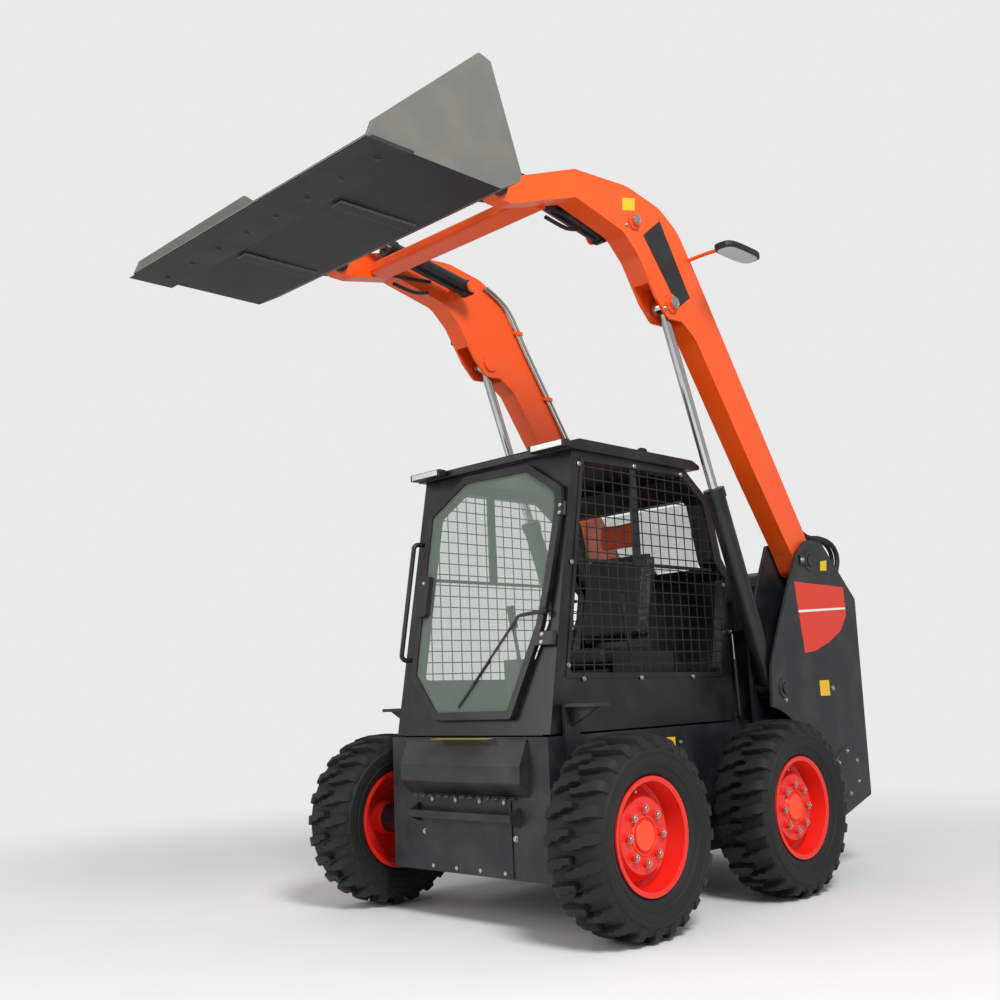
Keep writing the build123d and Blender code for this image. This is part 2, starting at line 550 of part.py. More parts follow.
def side_screen():
    """Left guard: rim of flat bar with crossed bars inside it."""
    rows = side_window()
    panel = outline([(*row, 12) for row in rows])
    rim_inner = offset(panel, amount=-16)
    y_low = CAB_HALF
    ring = plate(panel - rim_inner, y_low, y_low + 6)
    bars = None
    columns, rows_of_bars = 14, 17
    box_x = (-633.0, 587.0)
    box_z = (592.0, 1566.0)
    for i in range(1, columns):
        x = box_x[0] + (box_x[1] - box_x[0]) * i / columns
        bar = block((x - 2.5, x + 2.5), (y_low, y_low + 3), box_z)
        bars = bar if bars is None else bars + bar
    for i in range(1, rows_of_bars):
        z = box_z[0] + (box_z[1] - box_z[0]) * i / rows_of_bars
        bars += block(box_x, (y_low + 3, y_low + 6), (z - 2.5, z + 2.5))
    bars = bars & plate(offset(panel, amount=-10), y_low, y_low + 6)
    return ring + bars


def door_outline():
    """Corners of the door as (y, z, corner radius)."""
    return [(-165, 1548, 25), (240, 1540, 25), (448, 1410, 25), (460, 1325, 30), (430, 990, 60), (404, 820, 60),
            (268, 446, 20), (-206, 446, 20), (-390, 636, 25), (-396, 1400, 60)]


def door_frame():
    rows = [(y, up_slope(z), r) for y, z, r in door_outline()]
    panel = outline(rows)
    ring = panel - offset(panel, amount=-34)
    frame = extrude(front_plane(-DOOR_THICK / 2 + 2) * ring, amount=DOOR_THICK)
    for z, door_edge in ((1305, 436), (767, 360)):
        leaf = Pos((door_edge + DOOR_HINGE_Y) / 2, up_slope(z)) * Rectangle(DOOR_HINGE_Y - door_edge, 56)
        frame += extrude(front_plane(DOOR_THICK / 2 - 2) * leaf, amount=8)
        knuckle = Pos(DOOR_HINGE_Y, up_slope(z), 2) * Rot(90, 0, 0) * Cylinder(9, 60)
        frame += front_plane(DOOR_THICK / 2) * knuckle
    return frame


def door_glass():
    rows = [(y, up_slope(z), r) for y, z, r in door_outline()]
    pane = offset(outline(rows), amount=-34.5)
    return extrude(front_plane(0) * pane, amount=GLASS)


def door_handle():
    case = Pos(-340, up_slope(1000)) * RectangleRounded(70, 190, 16)
    return extrude(front_plane(DOOR_THICK / 2 + 2) * case, amount=26)


def rear_window():
    return block((-560, -552), (-358, 358), (1122, 1448))


def cab_floor():
    return block((-540, 600), (-CAB_HALF + CAB_POST + 2, CAB_HALF - CAB_POST - 2), (CAB_FLOOR, CAB_FLOOR + 10))


def seat_base():
    return block((-430, 20), (-230, 230), (CAB_FLOOR + 10, CAB_FLOOR + 260))


def seat_cushion():
    pad = block((-400, 60), (-235, 235), (CAB_FLOOR + 261, CAB_FLOOR + 361))
    return fillet(pad.edges(), 30)


def seat_back():
    rows = [(-392, 760), (-290, 760), (-350, 1230, 30), (-440, 1230, 30)]
    return plate(outline(rows), -230, 230)


def headrest():
    rows = [(-442, 1235, 10), (-360, 1235, 10), (-380, 1390, 25), (-450, 1390, 25)]
    return plate(outline(rows), -130, 130)


def control_levers():
    console = block((-250, 60), (300, 400), (CAB_FLOOR + 10, CAB_FLOOR + 330))
    stick = Pos(20, 350, CAB_FLOOR + 420) * Rot(0, 12, 0) * Cylinder(9, 190)
    grip = Pos(40, 350, CAB_FLOOR + 540) * Rot(0, 12, 0) * Cylinder(20, 110)
    return pair(console + stick + grip)


def work_lamps():
    front = front_x(CAB_ROOF)
    return pair(block((front + 20, front + 62), (290, 495), (CAB_ROOF + 4, CAB_ROOF + 34)))


def grab_handle():
    route = FilletPolyline((front_x(1260) - 12, -424, 1260), (front_x(1260) + 40, -440, 1262),
                           (front_x(720) + 40, -440, 718), (front_x(720) - 12, -424, 720), radius=24)
    start = Plane(origin=route @ 0, z_dir=route % 0)
    return sweep(start * Circle(11), path=route)


def gas_strut():
    rise = degrees(atan2(STRUT_TOP[1] - STRUT_FOOT[1], STRUT_TOP[0] - STRUT_FOOT[0]))
    length = hypot(STRUT_TOP[0] - STRUT_FOOT[0], STRUT_TOP[1] - STRUT_FOOT[1])
    tube = strut(STRUT_FOOT, rise, 10, 8, 270, STRUT_Y)
    tube += shaft(STRUT_FOOT, 12, STRUT_Y - 7, STRUT_Y + 7)
    tube -= shaft(STRUT_FOOT, 5 + PIN_GAP, STRUT_Y - 9, STRUT_Y + 9)
    tube -= strut(STRUT_FOOT, rise, 6, 20, 271, STRUT_Y)
    bar = strut(STRUT_FOOT, rise, 5, length - 380, length - 4, STRUT_Y)
    bar += shaft(STRUT_TOP, 11, STRUT_Y - 7, STRUT_Y + 7)
    return tube, bar


def make_cab():
    save("cab_frame", cab_frame())
    save("cab_roof", cab_roof())
    for name, side in SIDES:
        save(f"side_screen_{name}", on_side(side_screen(), side))
        tube, bar = gas_strut()
        save(f"gas_strut_tube_{name}", on_side(tube, side))
        save(f"gas_strut_rod_{name}", on_side(bar, side))
    save("rear_window", rear_window())
    save("cab_floor", cab_floor())
    save("seat_base", seat_base())
    save("seat_cushion", seat_cushion())
    save("seat_back", seat_back())
    save("headrest", headrest())
    save("control_levers", control_levers())
    save("work_lamps", work_lamps())
    save("grab_handle", grab_handle())
    save("door_frame", door_frame())
    save("door_glass", door_glass())
    save("door_handle", door_handle())


# ---- hood and rear door -------------------------------------------------------------------------------
def hood():
    hinge_x, hinge_z = HOOD_HINGE
    rows = [(hinge_x - 6, hinge_z - 14), (hinge_x - 6, hinge_z + 16, 10), (HOOD_REAR_X + 60, hinge_z - 6, 60),
            (HOOD_REAR_X, hinge_z - 16, 8), (HOOD_REAR_X, hinge_z - 32)]
    shell = plate(outline(rows), -HOOD_HALF, HOOD_HALF)
    return shell


def rear_door():
    hinge_x, hinge_y = REAR_DOOR_HINGE
    low, high = REAR_DOOR_Z
    panel = block((hinge_x + 6, hinge_x + 26), (-hinge_y, hinge_y), (low, high))
    box = block((hinge_x + 26, hinge_x + 70), (-400, 380), (low + 40, high - 40))
    box -= block((hinge_x + 26, hinge_x + 71), (-380, 360), (low + 60, high - 60))
    door = panel + box
    for i in range(9):
        z = low + 160 + i * 70
        door -= block((hinge_x, hinge_x + 30), (-300, 300), (z, z + 26))
    for z in (low + 120, high - 120):
        door += Pos(hinge_x, hinge_y + 4, z) * Cylinder(KNUCKLE_R, 80)
        door += block((hinge_x, hinge_x + 12), (hinge_y - 40, hinge_y + 4), (z - 30, z + 30))
    return door


def make_covers():
    save("hood", hood())
    save("rear_door", rear_door())


os.makedirs("parts", exist_ok=True)
make_wheels()
make_chassis()
make_arms()
make_cylinders()
make_bucket()
make_cab()
make_covers()
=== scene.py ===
"""Finishes, tyres, guards, upholstery, hoses and fittings of a skid steer loader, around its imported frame."""
import json
import math

import bmesh
import bpy
from bpy.props import FloatProperty, FloatVectorProperty, IntProperty, PointerProperty
from mathutils import Matrix, Vector


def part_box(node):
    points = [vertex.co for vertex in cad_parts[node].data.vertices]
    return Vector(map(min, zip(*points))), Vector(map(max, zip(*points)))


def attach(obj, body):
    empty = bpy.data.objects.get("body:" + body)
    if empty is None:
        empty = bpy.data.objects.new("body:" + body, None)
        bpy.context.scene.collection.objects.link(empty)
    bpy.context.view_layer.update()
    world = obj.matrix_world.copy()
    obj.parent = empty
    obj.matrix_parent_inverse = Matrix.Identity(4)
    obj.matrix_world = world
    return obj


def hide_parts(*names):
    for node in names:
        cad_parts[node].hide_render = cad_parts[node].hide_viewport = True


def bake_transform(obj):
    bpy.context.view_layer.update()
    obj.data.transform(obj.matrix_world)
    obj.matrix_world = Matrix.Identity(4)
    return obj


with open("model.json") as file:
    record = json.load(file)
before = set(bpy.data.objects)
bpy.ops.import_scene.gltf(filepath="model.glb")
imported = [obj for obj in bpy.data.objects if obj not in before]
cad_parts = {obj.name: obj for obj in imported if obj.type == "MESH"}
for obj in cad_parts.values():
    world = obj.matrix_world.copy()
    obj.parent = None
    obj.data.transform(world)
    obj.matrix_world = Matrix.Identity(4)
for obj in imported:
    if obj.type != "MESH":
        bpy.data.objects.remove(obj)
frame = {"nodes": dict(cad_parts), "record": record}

bl_info = {
    "name": "Skid steer loader",
    "version": (1, 0, 0),
    "blender": (4, 5, 0),
    "location": "View3D > Sidebar > Loader",
    "description": "Dresses a packed skid steer loader with its finishes, tyres, guards and fittings",
    "category": "Object",
}

MM = 0.001


def linear(code, alpha=None):
    """An sRGB hex code as linear red, green and blue, with an alpha if one is given."""
    rgb = [int(code[i:i + 2], 16) / 255 for i in (1, 3, 5)]
    rgb = [c / 12.92 if c <= 0.04045 else ((c + 0.055) / 1.055) ** 2.4 for c in rgb]
    return (*rgb,) if alpha is None else (*rgb, alpha)


# ---- colours and sizes ----------------------------------------------------------------------------------
def colour(name, code, description):
    return FloatVectorProperty(name=name, description=description, subtype="COLOR", size=3,
                               min=0.0, max=1.0, default=linear(code))


class LoaderColours(bpy.types.PropertyGroup):
    """Paints and rubbers of the loader."""
    chassis: colour("Chassis", "#1B1D22", "Charcoal enamel of the chassis and uprights")
    cab: colour("Cab", "#101113", "Black enamel of the cab")
    arm: colour("Arms", "#EE5310", "Orange enamel of the lift arms")
    rim: colour("Rims", "#E8261A", "Red-orange enamel of the wheel rims")
    bucket: colour("Bucket", "#64655F", "Grey enamel of the bucket")
    rubber: colour("Rubber", "#131315", "Tyre rubber")


class LoaderSizes(bpy.types.PropertyGroup):
    """Sizes of the fitted pieces."""
    lugs: IntProperty(name="Lugs", description="Tread lugs on each side of a tyre", default=24, min=8, max=40)
    lug_depth: FloatProperty(name="Lug depth", description="Height of a tread lug over the carcass",
                             unit="LENGTH", default=0.028)
    wire_across: FloatProperty(name="Wire spacing across", description="Pitch of the guard's upright wires",
                               unit="LENGTH", default=0.064)
    wire_up: FloatProperty(name="Wire spacing up", description="Pitch of the guard's level wires",
                           unit="LENGTH", default=0.053)
    wire: FloatProperty(name="Wire", description="Thickness of a guard wire", unit="LENGTH", default=0.005)
    hose: FloatProperty(name="Hose", description="Outside diameter of the loop hoses", unit="LENGTH",
                        default=0.026)


class LoaderCamera(bpy.types.PropertyGroup):
    """Where the studio camera stands."""
    place: FloatVectorProperty(name="Place", description="Where the camera stands", subtype="TRANSLATION",
                               unit="LENGTH", size=3, default=(3.8952, 3.5506, 0.942))
    heading: FloatProperty(name="Heading", description="Direction of view, from +X towards +Y",
                           subtype="ANGLE", default=math.radians(224.6))
    rise: FloatProperty(name="Rise", description="How far the view tips up", subtype="ANGLE",
                        default=math.radians(9.74))
    roll: FloatProperty(name="Roll", description="Turn about the line of view", subtype="ANGLE",
                        default=math.radians(-2.326))
    lens: FloatProperty(name="Lens", description="Focal length on a 36 mm sensor", default=40.44)


# ---- material tools -------------------------------------------------------------------------------------
def material(name):
    """An empty node material with its surface shader; gives the material, its tree and the shader."""
    made = bpy.data.materials.new(name)
    made.use_nodes = True
    tree = made.node_tree
    return made, tree, tree.nodes["Principled BSDF"]


def add(tree, kind, settings=None, links=None):
    """A node with its settings (attributes or input values) and links to its inputs."""
    node = tree.nodes.new(kind)
    for key, value in (settings or {}).items():
        if hasattr(node, key) and not isinstance(key, int):
            setattr(node, key, value)
        else:
            node.inputs[key].default_value = value
    for key, source in (links or {}).items():
        tree.links.new(source, node.inputs[key])
    return node


# Where the maker's own measures start: midway between the axles, on the axle line.
_front, _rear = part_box("tyre_front_left"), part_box("tyre_rear_left")
AXLE_X = (_front[0][0] + _front[1][0] + _rear[0][0] + _rear[1][0]) / 4
AXLE_Z = (_front[0][2] + _front[1][2]) / 2
BACKDROP = 0.82                 # how pale the backdrop is, where 1 is white
ARM_FACE = 650                  # outer face of an arm from the middle, in millimetres
UPRIGHT_FACE = 676              # outer face of an upright
PIN_FACE = 674                  # end of the arm's pin bosses
CASE_SIDE = 478                 # outer face of the chain cases
DISC_FACE = 58                  # outer face of a rim's disc from the tyre's middle
STUD_CIRCLE_R = 101.6           # radius that the wheel studs stand on
LEAN = math.radians(10.45)      # of the cab's front, back from upright
SIDES = (("left", 1), ("right", -1))


def place(x, y, z):
    """A point in the frame from millimetres measured off the middle of the axle line."""
    return Vector((AXLE_X + x * MM, y * MM, AXLE_Z + z * MM))


def front_x(z):
    """Where the plane of the door's glass is at height z."""
    return 660 - (z - 657) * math.tan(LEAN)


# ---- finishes -------------------------------------------------------------------------------------------
def grain(tree, size_mm, detail=4.0, kind="ShaderNodeTexNoise"):
    """A pattern whose features are about size_mm across, fixed to the piece."""
    at = add(tree, "ShaderNodeTexCoord")
    settings = {"Scale": 1000 / size_mm}
    if kind == "ShaderNodeTexNoise":
        settings["Detail"] = detail
    return add(tree, kind, settings, {"Vector": at.outputs["Object"]})


def relief(tree, shader, height, depth_mm, edge_mm=0.0):
    """Bump of depth_mm from a pattern, over edges rounded to edge_mm."""
    bump = add(tree, "ShaderNodeBump", {"Strength": 1.0, "Distance": depth_mm * MM}, {"Height": height})
    if edge_mm:
        soft = add(tree, "ShaderNodeBevel", {"samples": 4, "Radius": edge_mm * MM})
        tree.links.new(soft.outputs["Normal"], bump.inputs["Normal"])
    tree.links.new(bump.outputs["Normal"], shader.inputs["Normal"])


def enamel(name, rgb, rough, dust=0.12, bare=None, edge_mm=2.0, peel_mm=0.05, painted_underside_shade=None):
    """Sprayed enamel on steel: an even skin with orange peel and dust in patches.

    bare gives rubbed edges their colour; the last argument darkens faces that look down, as painted shade under
    the piece.
    """
    made, tree, shader = material(name)
    # Patches of dust as wide as a hand; the real film is finer than that, and this is as fine as shows.
    patch = grain(tree, 170, 7.0)
    film = add(tree, "ShaderNodeMapRange", {"From Min": 0.45, "From Max": 0.75, "To Max": dust},
               {"Value": patch.outputs["Fac"]})
    tint = add(tree, "ShaderNodeMix", {"data_type": "RGBA"}, {0: film.outputs["Result"]})
    tint.inputs[6].default_value = (*rgb, 1)
    tint.inputs[7].default_value = linear("#8A8378", 1)
    colour_out = tint.outputs[2]
    if painted_underside_shade:
        # Faces that look down are painted darker here, as painted shade under the piece.
        at = add(tree, "ShaderNodeTexCoord")
        way = add(tree, "ShaderNodeSeparateXYZ", None, {0: at.outputs["Normal"]})
        down = add(tree, "ShaderNodeMapRange", {"From Min": -0.2, "From Max": -0.5},
                   {"Value": way.outputs["Z"]})
        dark = add(tree, "ShaderNodeMix", {"data_type": "RGBA"}, {0: down.outputs["Result"], 6: colour_out})
        dark.inputs[7].default_value = linear(painted_underside_shade, 1)
        colour_out = dark.outputs[2]
    if bare:
        soft = add(tree, "ShaderNodeBevel", {"samples": 4, "Radius": 4 * MM})
        true = add(tree, "ShaderNodeNewGeometry")
        turn = add(tree, "ShaderNodeVectorMath", {"operation": "DOT_PRODUCT"},
                   {0: soft.outputs["Normal"], 1: true.outputs["Normal"]})
        rub = add(tree, "ShaderNodeMapRange", {"From Min": 0.995, "From Max": 0.90},
                  {"Value": turn.outputs["Value"]})
        broken = grain(tree, 14, 5.0)
        worn = add(tree, "ShaderNodeMath", {"operation": "MULTIPLY"},
                   {0: rub.outputs["Result"], 1: broken.outputs["Fac"]})
        mix = add(tree, "ShaderNodeMix", {"data_type": "RGBA"}, {0: worn.outputs["Value"], 6: colour_out})
        mix.inputs[7].default_value = linear(bare, 1)
        colour_out = mix.outputs[2]
    tree.links.new(colour_out, shader.inputs["Base Color"])
    gloss = add(tree, "ShaderNodeMapRange", {"To Min": rough - 0.06, "To Max": rough + 0.14},
                {"Value": patch.outputs["Fac"]})
    tree.links.new(gloss.outputs["Result"], shader.inputs["Roughness"])
    shader.inputs["IOR"].default_value = 1.5
    relief(tree, shader, grain(tree, 4, 3.0).outputs["Fac"], peel_mm, edge_mm)
    return made


def metal(name, code, rough, size_mm, depth_mm):
    """Bare or plated metal: a mottle of size_mm in its gloss and fine relief."""
    made, tree, shader = material(name)
    mottle = grain(tree, size_mm, 5.0)
    tint = add(tree, "ShaderNodeMix", {"data_type": "RGBA"}, {0: mottle.outputs["Fac"]})
    tint.inputs[6].default_value = linear(code, 1)
    tint.inputs[7].default_value = (*[c * 0.72 for c in linear(code)], 1)
    tree.links.new(tint.outputs[2], shader.inputs["Base Color"])
    gloss = add(tree, "ShaderNodeMapRange", {"To Min": rough * 0.7, "To Max": rough * 1.4},
                {"Value": mottle.outputs["Fac"]})
    tree.links.new(gloss.outputs["Result"], shader.inputs["Roughness"])
    shader.inputs["Metallic"].default_value = 1.0
    relief(tree, shader, mottle.outputs["Fac"], depth_mm)
    return made


def moulded(name, rgb, rough, size_mm, depth_mm, kind="ShaderNodeTexNoise", variation=0.25):
    """Rubber, plastic or vinyl with a moulded grain of size_mm, and a slow change of shade."""
    made, tree, shader = material(name)
    shade = grain(tree, 90, 6.0)
    tint = add(tree, "ShaderNodeMix", {"data_type": "RGBA"}, {0: shade.outputs["Fac"]})
    tint.inputs[6].default_value = (*[c * (1 - variation) for c in rgb], 1)
    tint.inputs[7].default_value = (*[min(1, c * (1 + variation)) for c in rgb], 1)
    tree.links.new(tint.outputs[2], shader.inputs["Base Color"])
    gloss = add(tree, "ShaderNodeMapRange", {"To Min": rough - 0.08, "To Max": rough + 0.1},
                {"Value": shade.outputs["Fac"]})
    tree.links.new(gloss.outputs["Result"], shader.inputs["Roughness"])
    bumps = grain(tree, size_mm, 3.0, kind)
    relief(tree, shader, bumps.outputs[0], depth_mm)
    return made


def woven(name, code):
    """Plain-woven cover cloth: crossing threads, drawn 3 mm apart because real ones of 0.6 mm don't show."""
    made, tree, shader = material(name)
    at = add(tree, "ShaderNodeTexCoord")
    # A wave's bands are 20 / Scale apart, in metres.
    threads = [add(tree, "ShaderNodeTexWave", {"bands_direction": way, "Scale": 0.314 / (3 * MM),
                                               "Distortion": 0.4},
                   {"Vector": at.outputs["Object"]}) for way in ("Y", "Z")]
    cross = add(tree, "ShaderNodeMath", {"operation": "MAXIMUM"},
                {0: threads[0].outputs["Fac"], 1: threads[1].outputs["Fac"]})
    tint = add(tree, "ShaderNodeMix", {"data_type": "RGBA"}, {0: cross.outputs["Value"]})
    tint.inputs[6].default_value = (*[c * 0.7 for c in linear(code)], 1)
    tint.inputs[7].default_value = linear(code, 1)
    tree.links.new(tint.outputs[2], shader.inputs["Base Color"])
    shader.inputs["Roughness"].default_value = 0.85
    shader.inputs["Sheen Weight"].default_value = 0.3
    relief(tree, shader, cross.outputs["Value"], 0.5)
    return made


def clear_glass(name, code, alpha):
    """Tinted float glass: sharp gloss, a pale smear of dust."""
    made, tree, shader = material(name)
    shader.inputs["Base Color"].default_value = linear(code, 1)
    shader.inputs["Alpha"].default_value = alpha
    smear = grain(tree, 120, 6.0)
    gloss = add(tree, "ShaderNodeMapRange", {"To Min": 0.02, "To Max": 0.12}, {"Value": smear.outputs["Fac"]})
    tree.links.new(gloss.outputs["Result"], shader.inputs["Roughness"])
    shader.inputs["IOR"].default_value = 1.52
    return made


FINISH = {}


def name_slot(made, finish):
    """Ties a piece to its slot in the record; films, plating and hoses have none there."""
    made["finish"] = finish



def mix_finishes(hues):
    """Every finish of the loader, by the slot that it belongs to."""
    FINISH.update({
        # Charcoal two-pack enamel over plate: satin, dusty low down.
        "chassis_paint": enamel("charcoal_enamel", hues.chassis, 0.38, 0.10),
        # Black enamel on the welded cab: a little glossier than the chassis.
        "cab_paint": enamel("black_enamel", hues.cab, 0.32, 0.06),
        # Orange enamel on the arms: bright and glossy.
        "arm_paint": enamel("orange_enamel", hues.arm, 0.28, 0.05),
        # Baked red-orange enamel on the pressed rims.
        "rim_paint": enamel("baked_rim_enamel", hues.rim, 0.30, 0.06, edge_mm=1.5),
        # The hub's own brushed-on enamel, a lighter orange than the rim.
        "hub_paint": enamel("brushed_hub_enamel", linear("#FF4A1C"), 0.35, 0.04, edge_mm=1.0),
        # Grey enamel on the bucket, rubbed to steel along its edges, with painted shade darkening its downward
        # faces.
        "bucket_steel": enamel("bucket_enamel", hues.bucket, 0.45, 0.25, bare="#A6A49E", edge_mm=2.5,
                               painted_underside_shade="#1D1D1B"),
        # Hardened edge steel, rolled and oiled: dark, rubbed bright at its corners.
        "edge_steel": enamel("rolled_edge_steel", linear("#1C1C1B"), 0.45, 0.10, bare="#6E6D69"),
        "tyre": moulded("tyre_rubber", hues.rubber, 0.72, 9, 0.25),
        "chrome": metal("hard_chrome", "#D6D8DA", 0.10, 60, 0.01),
        "barrel_paint": enamel("cylinder_enamel", hues.cab, 0.30, 0.05),
        "engine": metal("cast_iron", "#4A4A48", 0.6, 12, 0.5),
        "glass": clear_glass("tinted_float_glass", "#8FA090", 0.30),
        "guard": enamel("guard_enamel", linear("#0E0F10"), 0.45, 0.04, edge_mm=0.0),
        "seat_vinyl": moulded("seat_vinyl", linear("#1C1D1F"), 0.55, 2.5, 0.35, "ShaderNodeTexVoronoi"),
        "headrest_cover": woven("headrest_cloth", "#E8501C"),
        "black_plastic": moulded("moulded_abs", linear("#18191A"), 0.5, 2, 0.15),
        "lamp": clear_glass("lamp_polycarbonate", "#EDEFEA", 0.85),
        "hose_rubber": moulded("braided_hose_rubber", linear("#131415"), 0.6, 3, 0.4),
        "zinc": metal("zinc_plate", "#C9C8C2", 0.32, 8, 0.05),
        "yellow": enamel("yellow_label_film", linear("#E9B71E"), 0.35, 0.04, edge_mm=0.0),
        "red_film": enamel("red_decal_film", linear("#D8321C"), 0.30, 0.04, edge_mm=0.0),
        "black_film": enamel("black_decal_film", linear("#17181A"), 0.30, 0.04, edge_mm=0.0),
        "white_film": enamel("white_decal_film", linear("#E8E7E2"), 0.35, 0.04, edge_mm=0.0),
        "silvered": metal("silvered_mirror", "#E4E6E8", 0.04, 300, 0.0),
    })


# ---- shape tools ----------------------------------------------------------------------------------------
def slab(bm, ring, through):
    """A closed prism: the ring of corners, carried along through."""
    low = [bm.verts.new(p) for p in ring]
    high = [bm.verts.new(Vector(p) + through) for p in ring]
    bm.faces.new(low)
    bm.faces.new(list(reversed(high)))
    for i, corner in enumerate(low):
        j = (i + 1) % len(low)
        bm.faces.new((low[j], corner, high[i], high[j]))


def across(axis):
    """Two directions square to an axis and to each other."""
    axis = Vector(axis).normalized()
    one = axis.orthogonal().normalized()
    return one, axis.cross(one)


def turned(bm, at, axis, rows, steps=32):
    """A closed turning: rows of (along the axis, radius) about a line through at, in millimetres."""
    axis = Vector(axis).normalized()
    one, two = across(axis)
    rings = []
    for along, radius in rows:
        middle = at + axis * along * MM
        if radius == 0:
            rings.append([bm.verts.new(middle)])
            continue
        rings.append([bm.verts.new(middle + radius * MM * (math.cos(t) * one + math.sin(t) * two))
                      for t in (2 * math.pi * k / steps for k in range(steps))])
    pairs = list(zip(rings, rings[1:]))
    if rows[0][1] and rows[-1][1]:
        pairs.append((rings[-1], rings[0]))
    for a, b in pairs:
        for k in range(steps):
            n = (k + 1) % steps
            if len(a) == 1:
                bm.faces.new((a[0], b[k], b[n]))
            elif len(b) == 1:
                bm.faces.new((a[k], b[0], a[n]))
            else:
                bm.faces.new((a[k], b[k], b[n], a[n]))


def bolt(bm, at, axis, across_flats=17, high=8):
    """Hexagon head on a round washer, its seat at at."""
    axis = Vector(axis).normalized()
    one, two = across(axis)
    turned(bm, at, axis, [(0, 0), (0, across_flats * 0.78), (2, across_flats * 0.78), (2, 0)], 20)
    radius = across_flats / math.sqrt(3) * MM
    ring = [at + axis * 2 * MM + radius * (math.cos(t) * one + math.sin(t) * two)
            for t in (math.pi * k / 3 for k in range(6))]
    slab(bm, ring, axis * high * MM)
    turned(bm, at, axis, [(2 + high, 0), (2 + high, across_flats * 0.36), (3.2 + high, across_flats * 0.3),
                          (3.2 + high, 0)], 16)


def piece(bm, name, finish, body=None, smooth=False, round_mm=0.0):
    """The finished mesh as a piece of the loader, riding on its body."""
    bmesh.ops.recalc_face_normals(bm, faces=bm.faces)
    mesh = bpy.data.meshes.new(name)
    bm.to_mesh(mesh)
    bm.free()
    made = bpy.data.objects.new(name, mesh)
    bpy.context.scene.collection.objects.link(made)
    mesh.materials.append(FINISH[finish])
    if smooth:
        mesh.shade_smooth()
        mesh.set_sharp_from_angle(angle=math.radians(38))
    if round_mm:
        soft = made.modifiers.new("edges", "BEVEL")
        soft.width = round_mm * MM
        soft.segments = 2
        soft.limit_method = "ANGLE"
    name_slot(made, finish)
    if body:
        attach(made, body)
    return made


def line(name, points, radius_mm, finish, body=None):
    """A hose or pipe on one smooth line through the region of its points."""
    curve = bpy.data.curves.new(name, "CURVE")
    curve.dimensions = "3D"
    spline = curve.splines.new("NURBS")
    spline.points.add(len(points) - 1)
    for knot, point in zip(spline.points, points):
        knot.co = (*point, 1)
    spline.order_u = 3
    spline.use_endpoint_u = True
    spline.resolution_u = 12
    curve.bevel_depth = radius_mm * MM
    curve.bevel_resolution = 5
    curve.use_fill_caps = True
    made = bpy.data.objects.new(name, curve)
    bpy.context.scene.collection.objects.link(made)
    curve.materials.append(FINISH[finish])
    name_slot(made, finish)
    if body:
        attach(made, body)
    return made


def inset(corners, by):
    """A clockwise or anticlockwise outline moved inwards by the same distance on every side."""
    area = sum(a[0] * b[1] - b[0] * a[1] for a, b in zip(corners, corners[1:] + corners[:1]))
    way = 1 if area > 0 else -1
    moved = []
    for i, here in enumerate(corners):
        before, after = Vector(corners[i - 1]), Vector(corners[(i + 1) % len(corners)])
        here = Vector(here)
        one, two = (here - before).normalized(), (after - here).normalized()
        n1, n2 = way * Vector((-one.y, one.x)), way * Vector((-two.y, two.x))
        moved.append(here + (n1 + n2) * by / (1 + n1.dot(n2)))
    return moved


def spans(corners, at, axis):
    """Where a line at a fixed first (axis 0) or second (axis 1) measure runs inside an outline."""
    cuts = []
    for a, b in zip(corners, corners[1:] + corners[:1]):
        if (a[axis] - at) * (b[axis] - at) < 0:
            cuts.append(a[1 - axis] + (at - a[axis]) / (b[axis] - a[axis]) * (b[1 - axis] - a[1 - axis]))
    cuts.sort()
    return list(zip(cuts[::2], cuts[1::2]))


def box(bm, low, high):
    """A block between two corners in millimetres."""
    (x0, y0, z0), (x1, y1, z1) = low, high
    slab(bm, [place(x0, y0, z0), place(x1, y0, z0), place(x1, y1, z0), place(x0, y1, z0)],
         Vector((0, 0, (z1 - z0) * MM)))


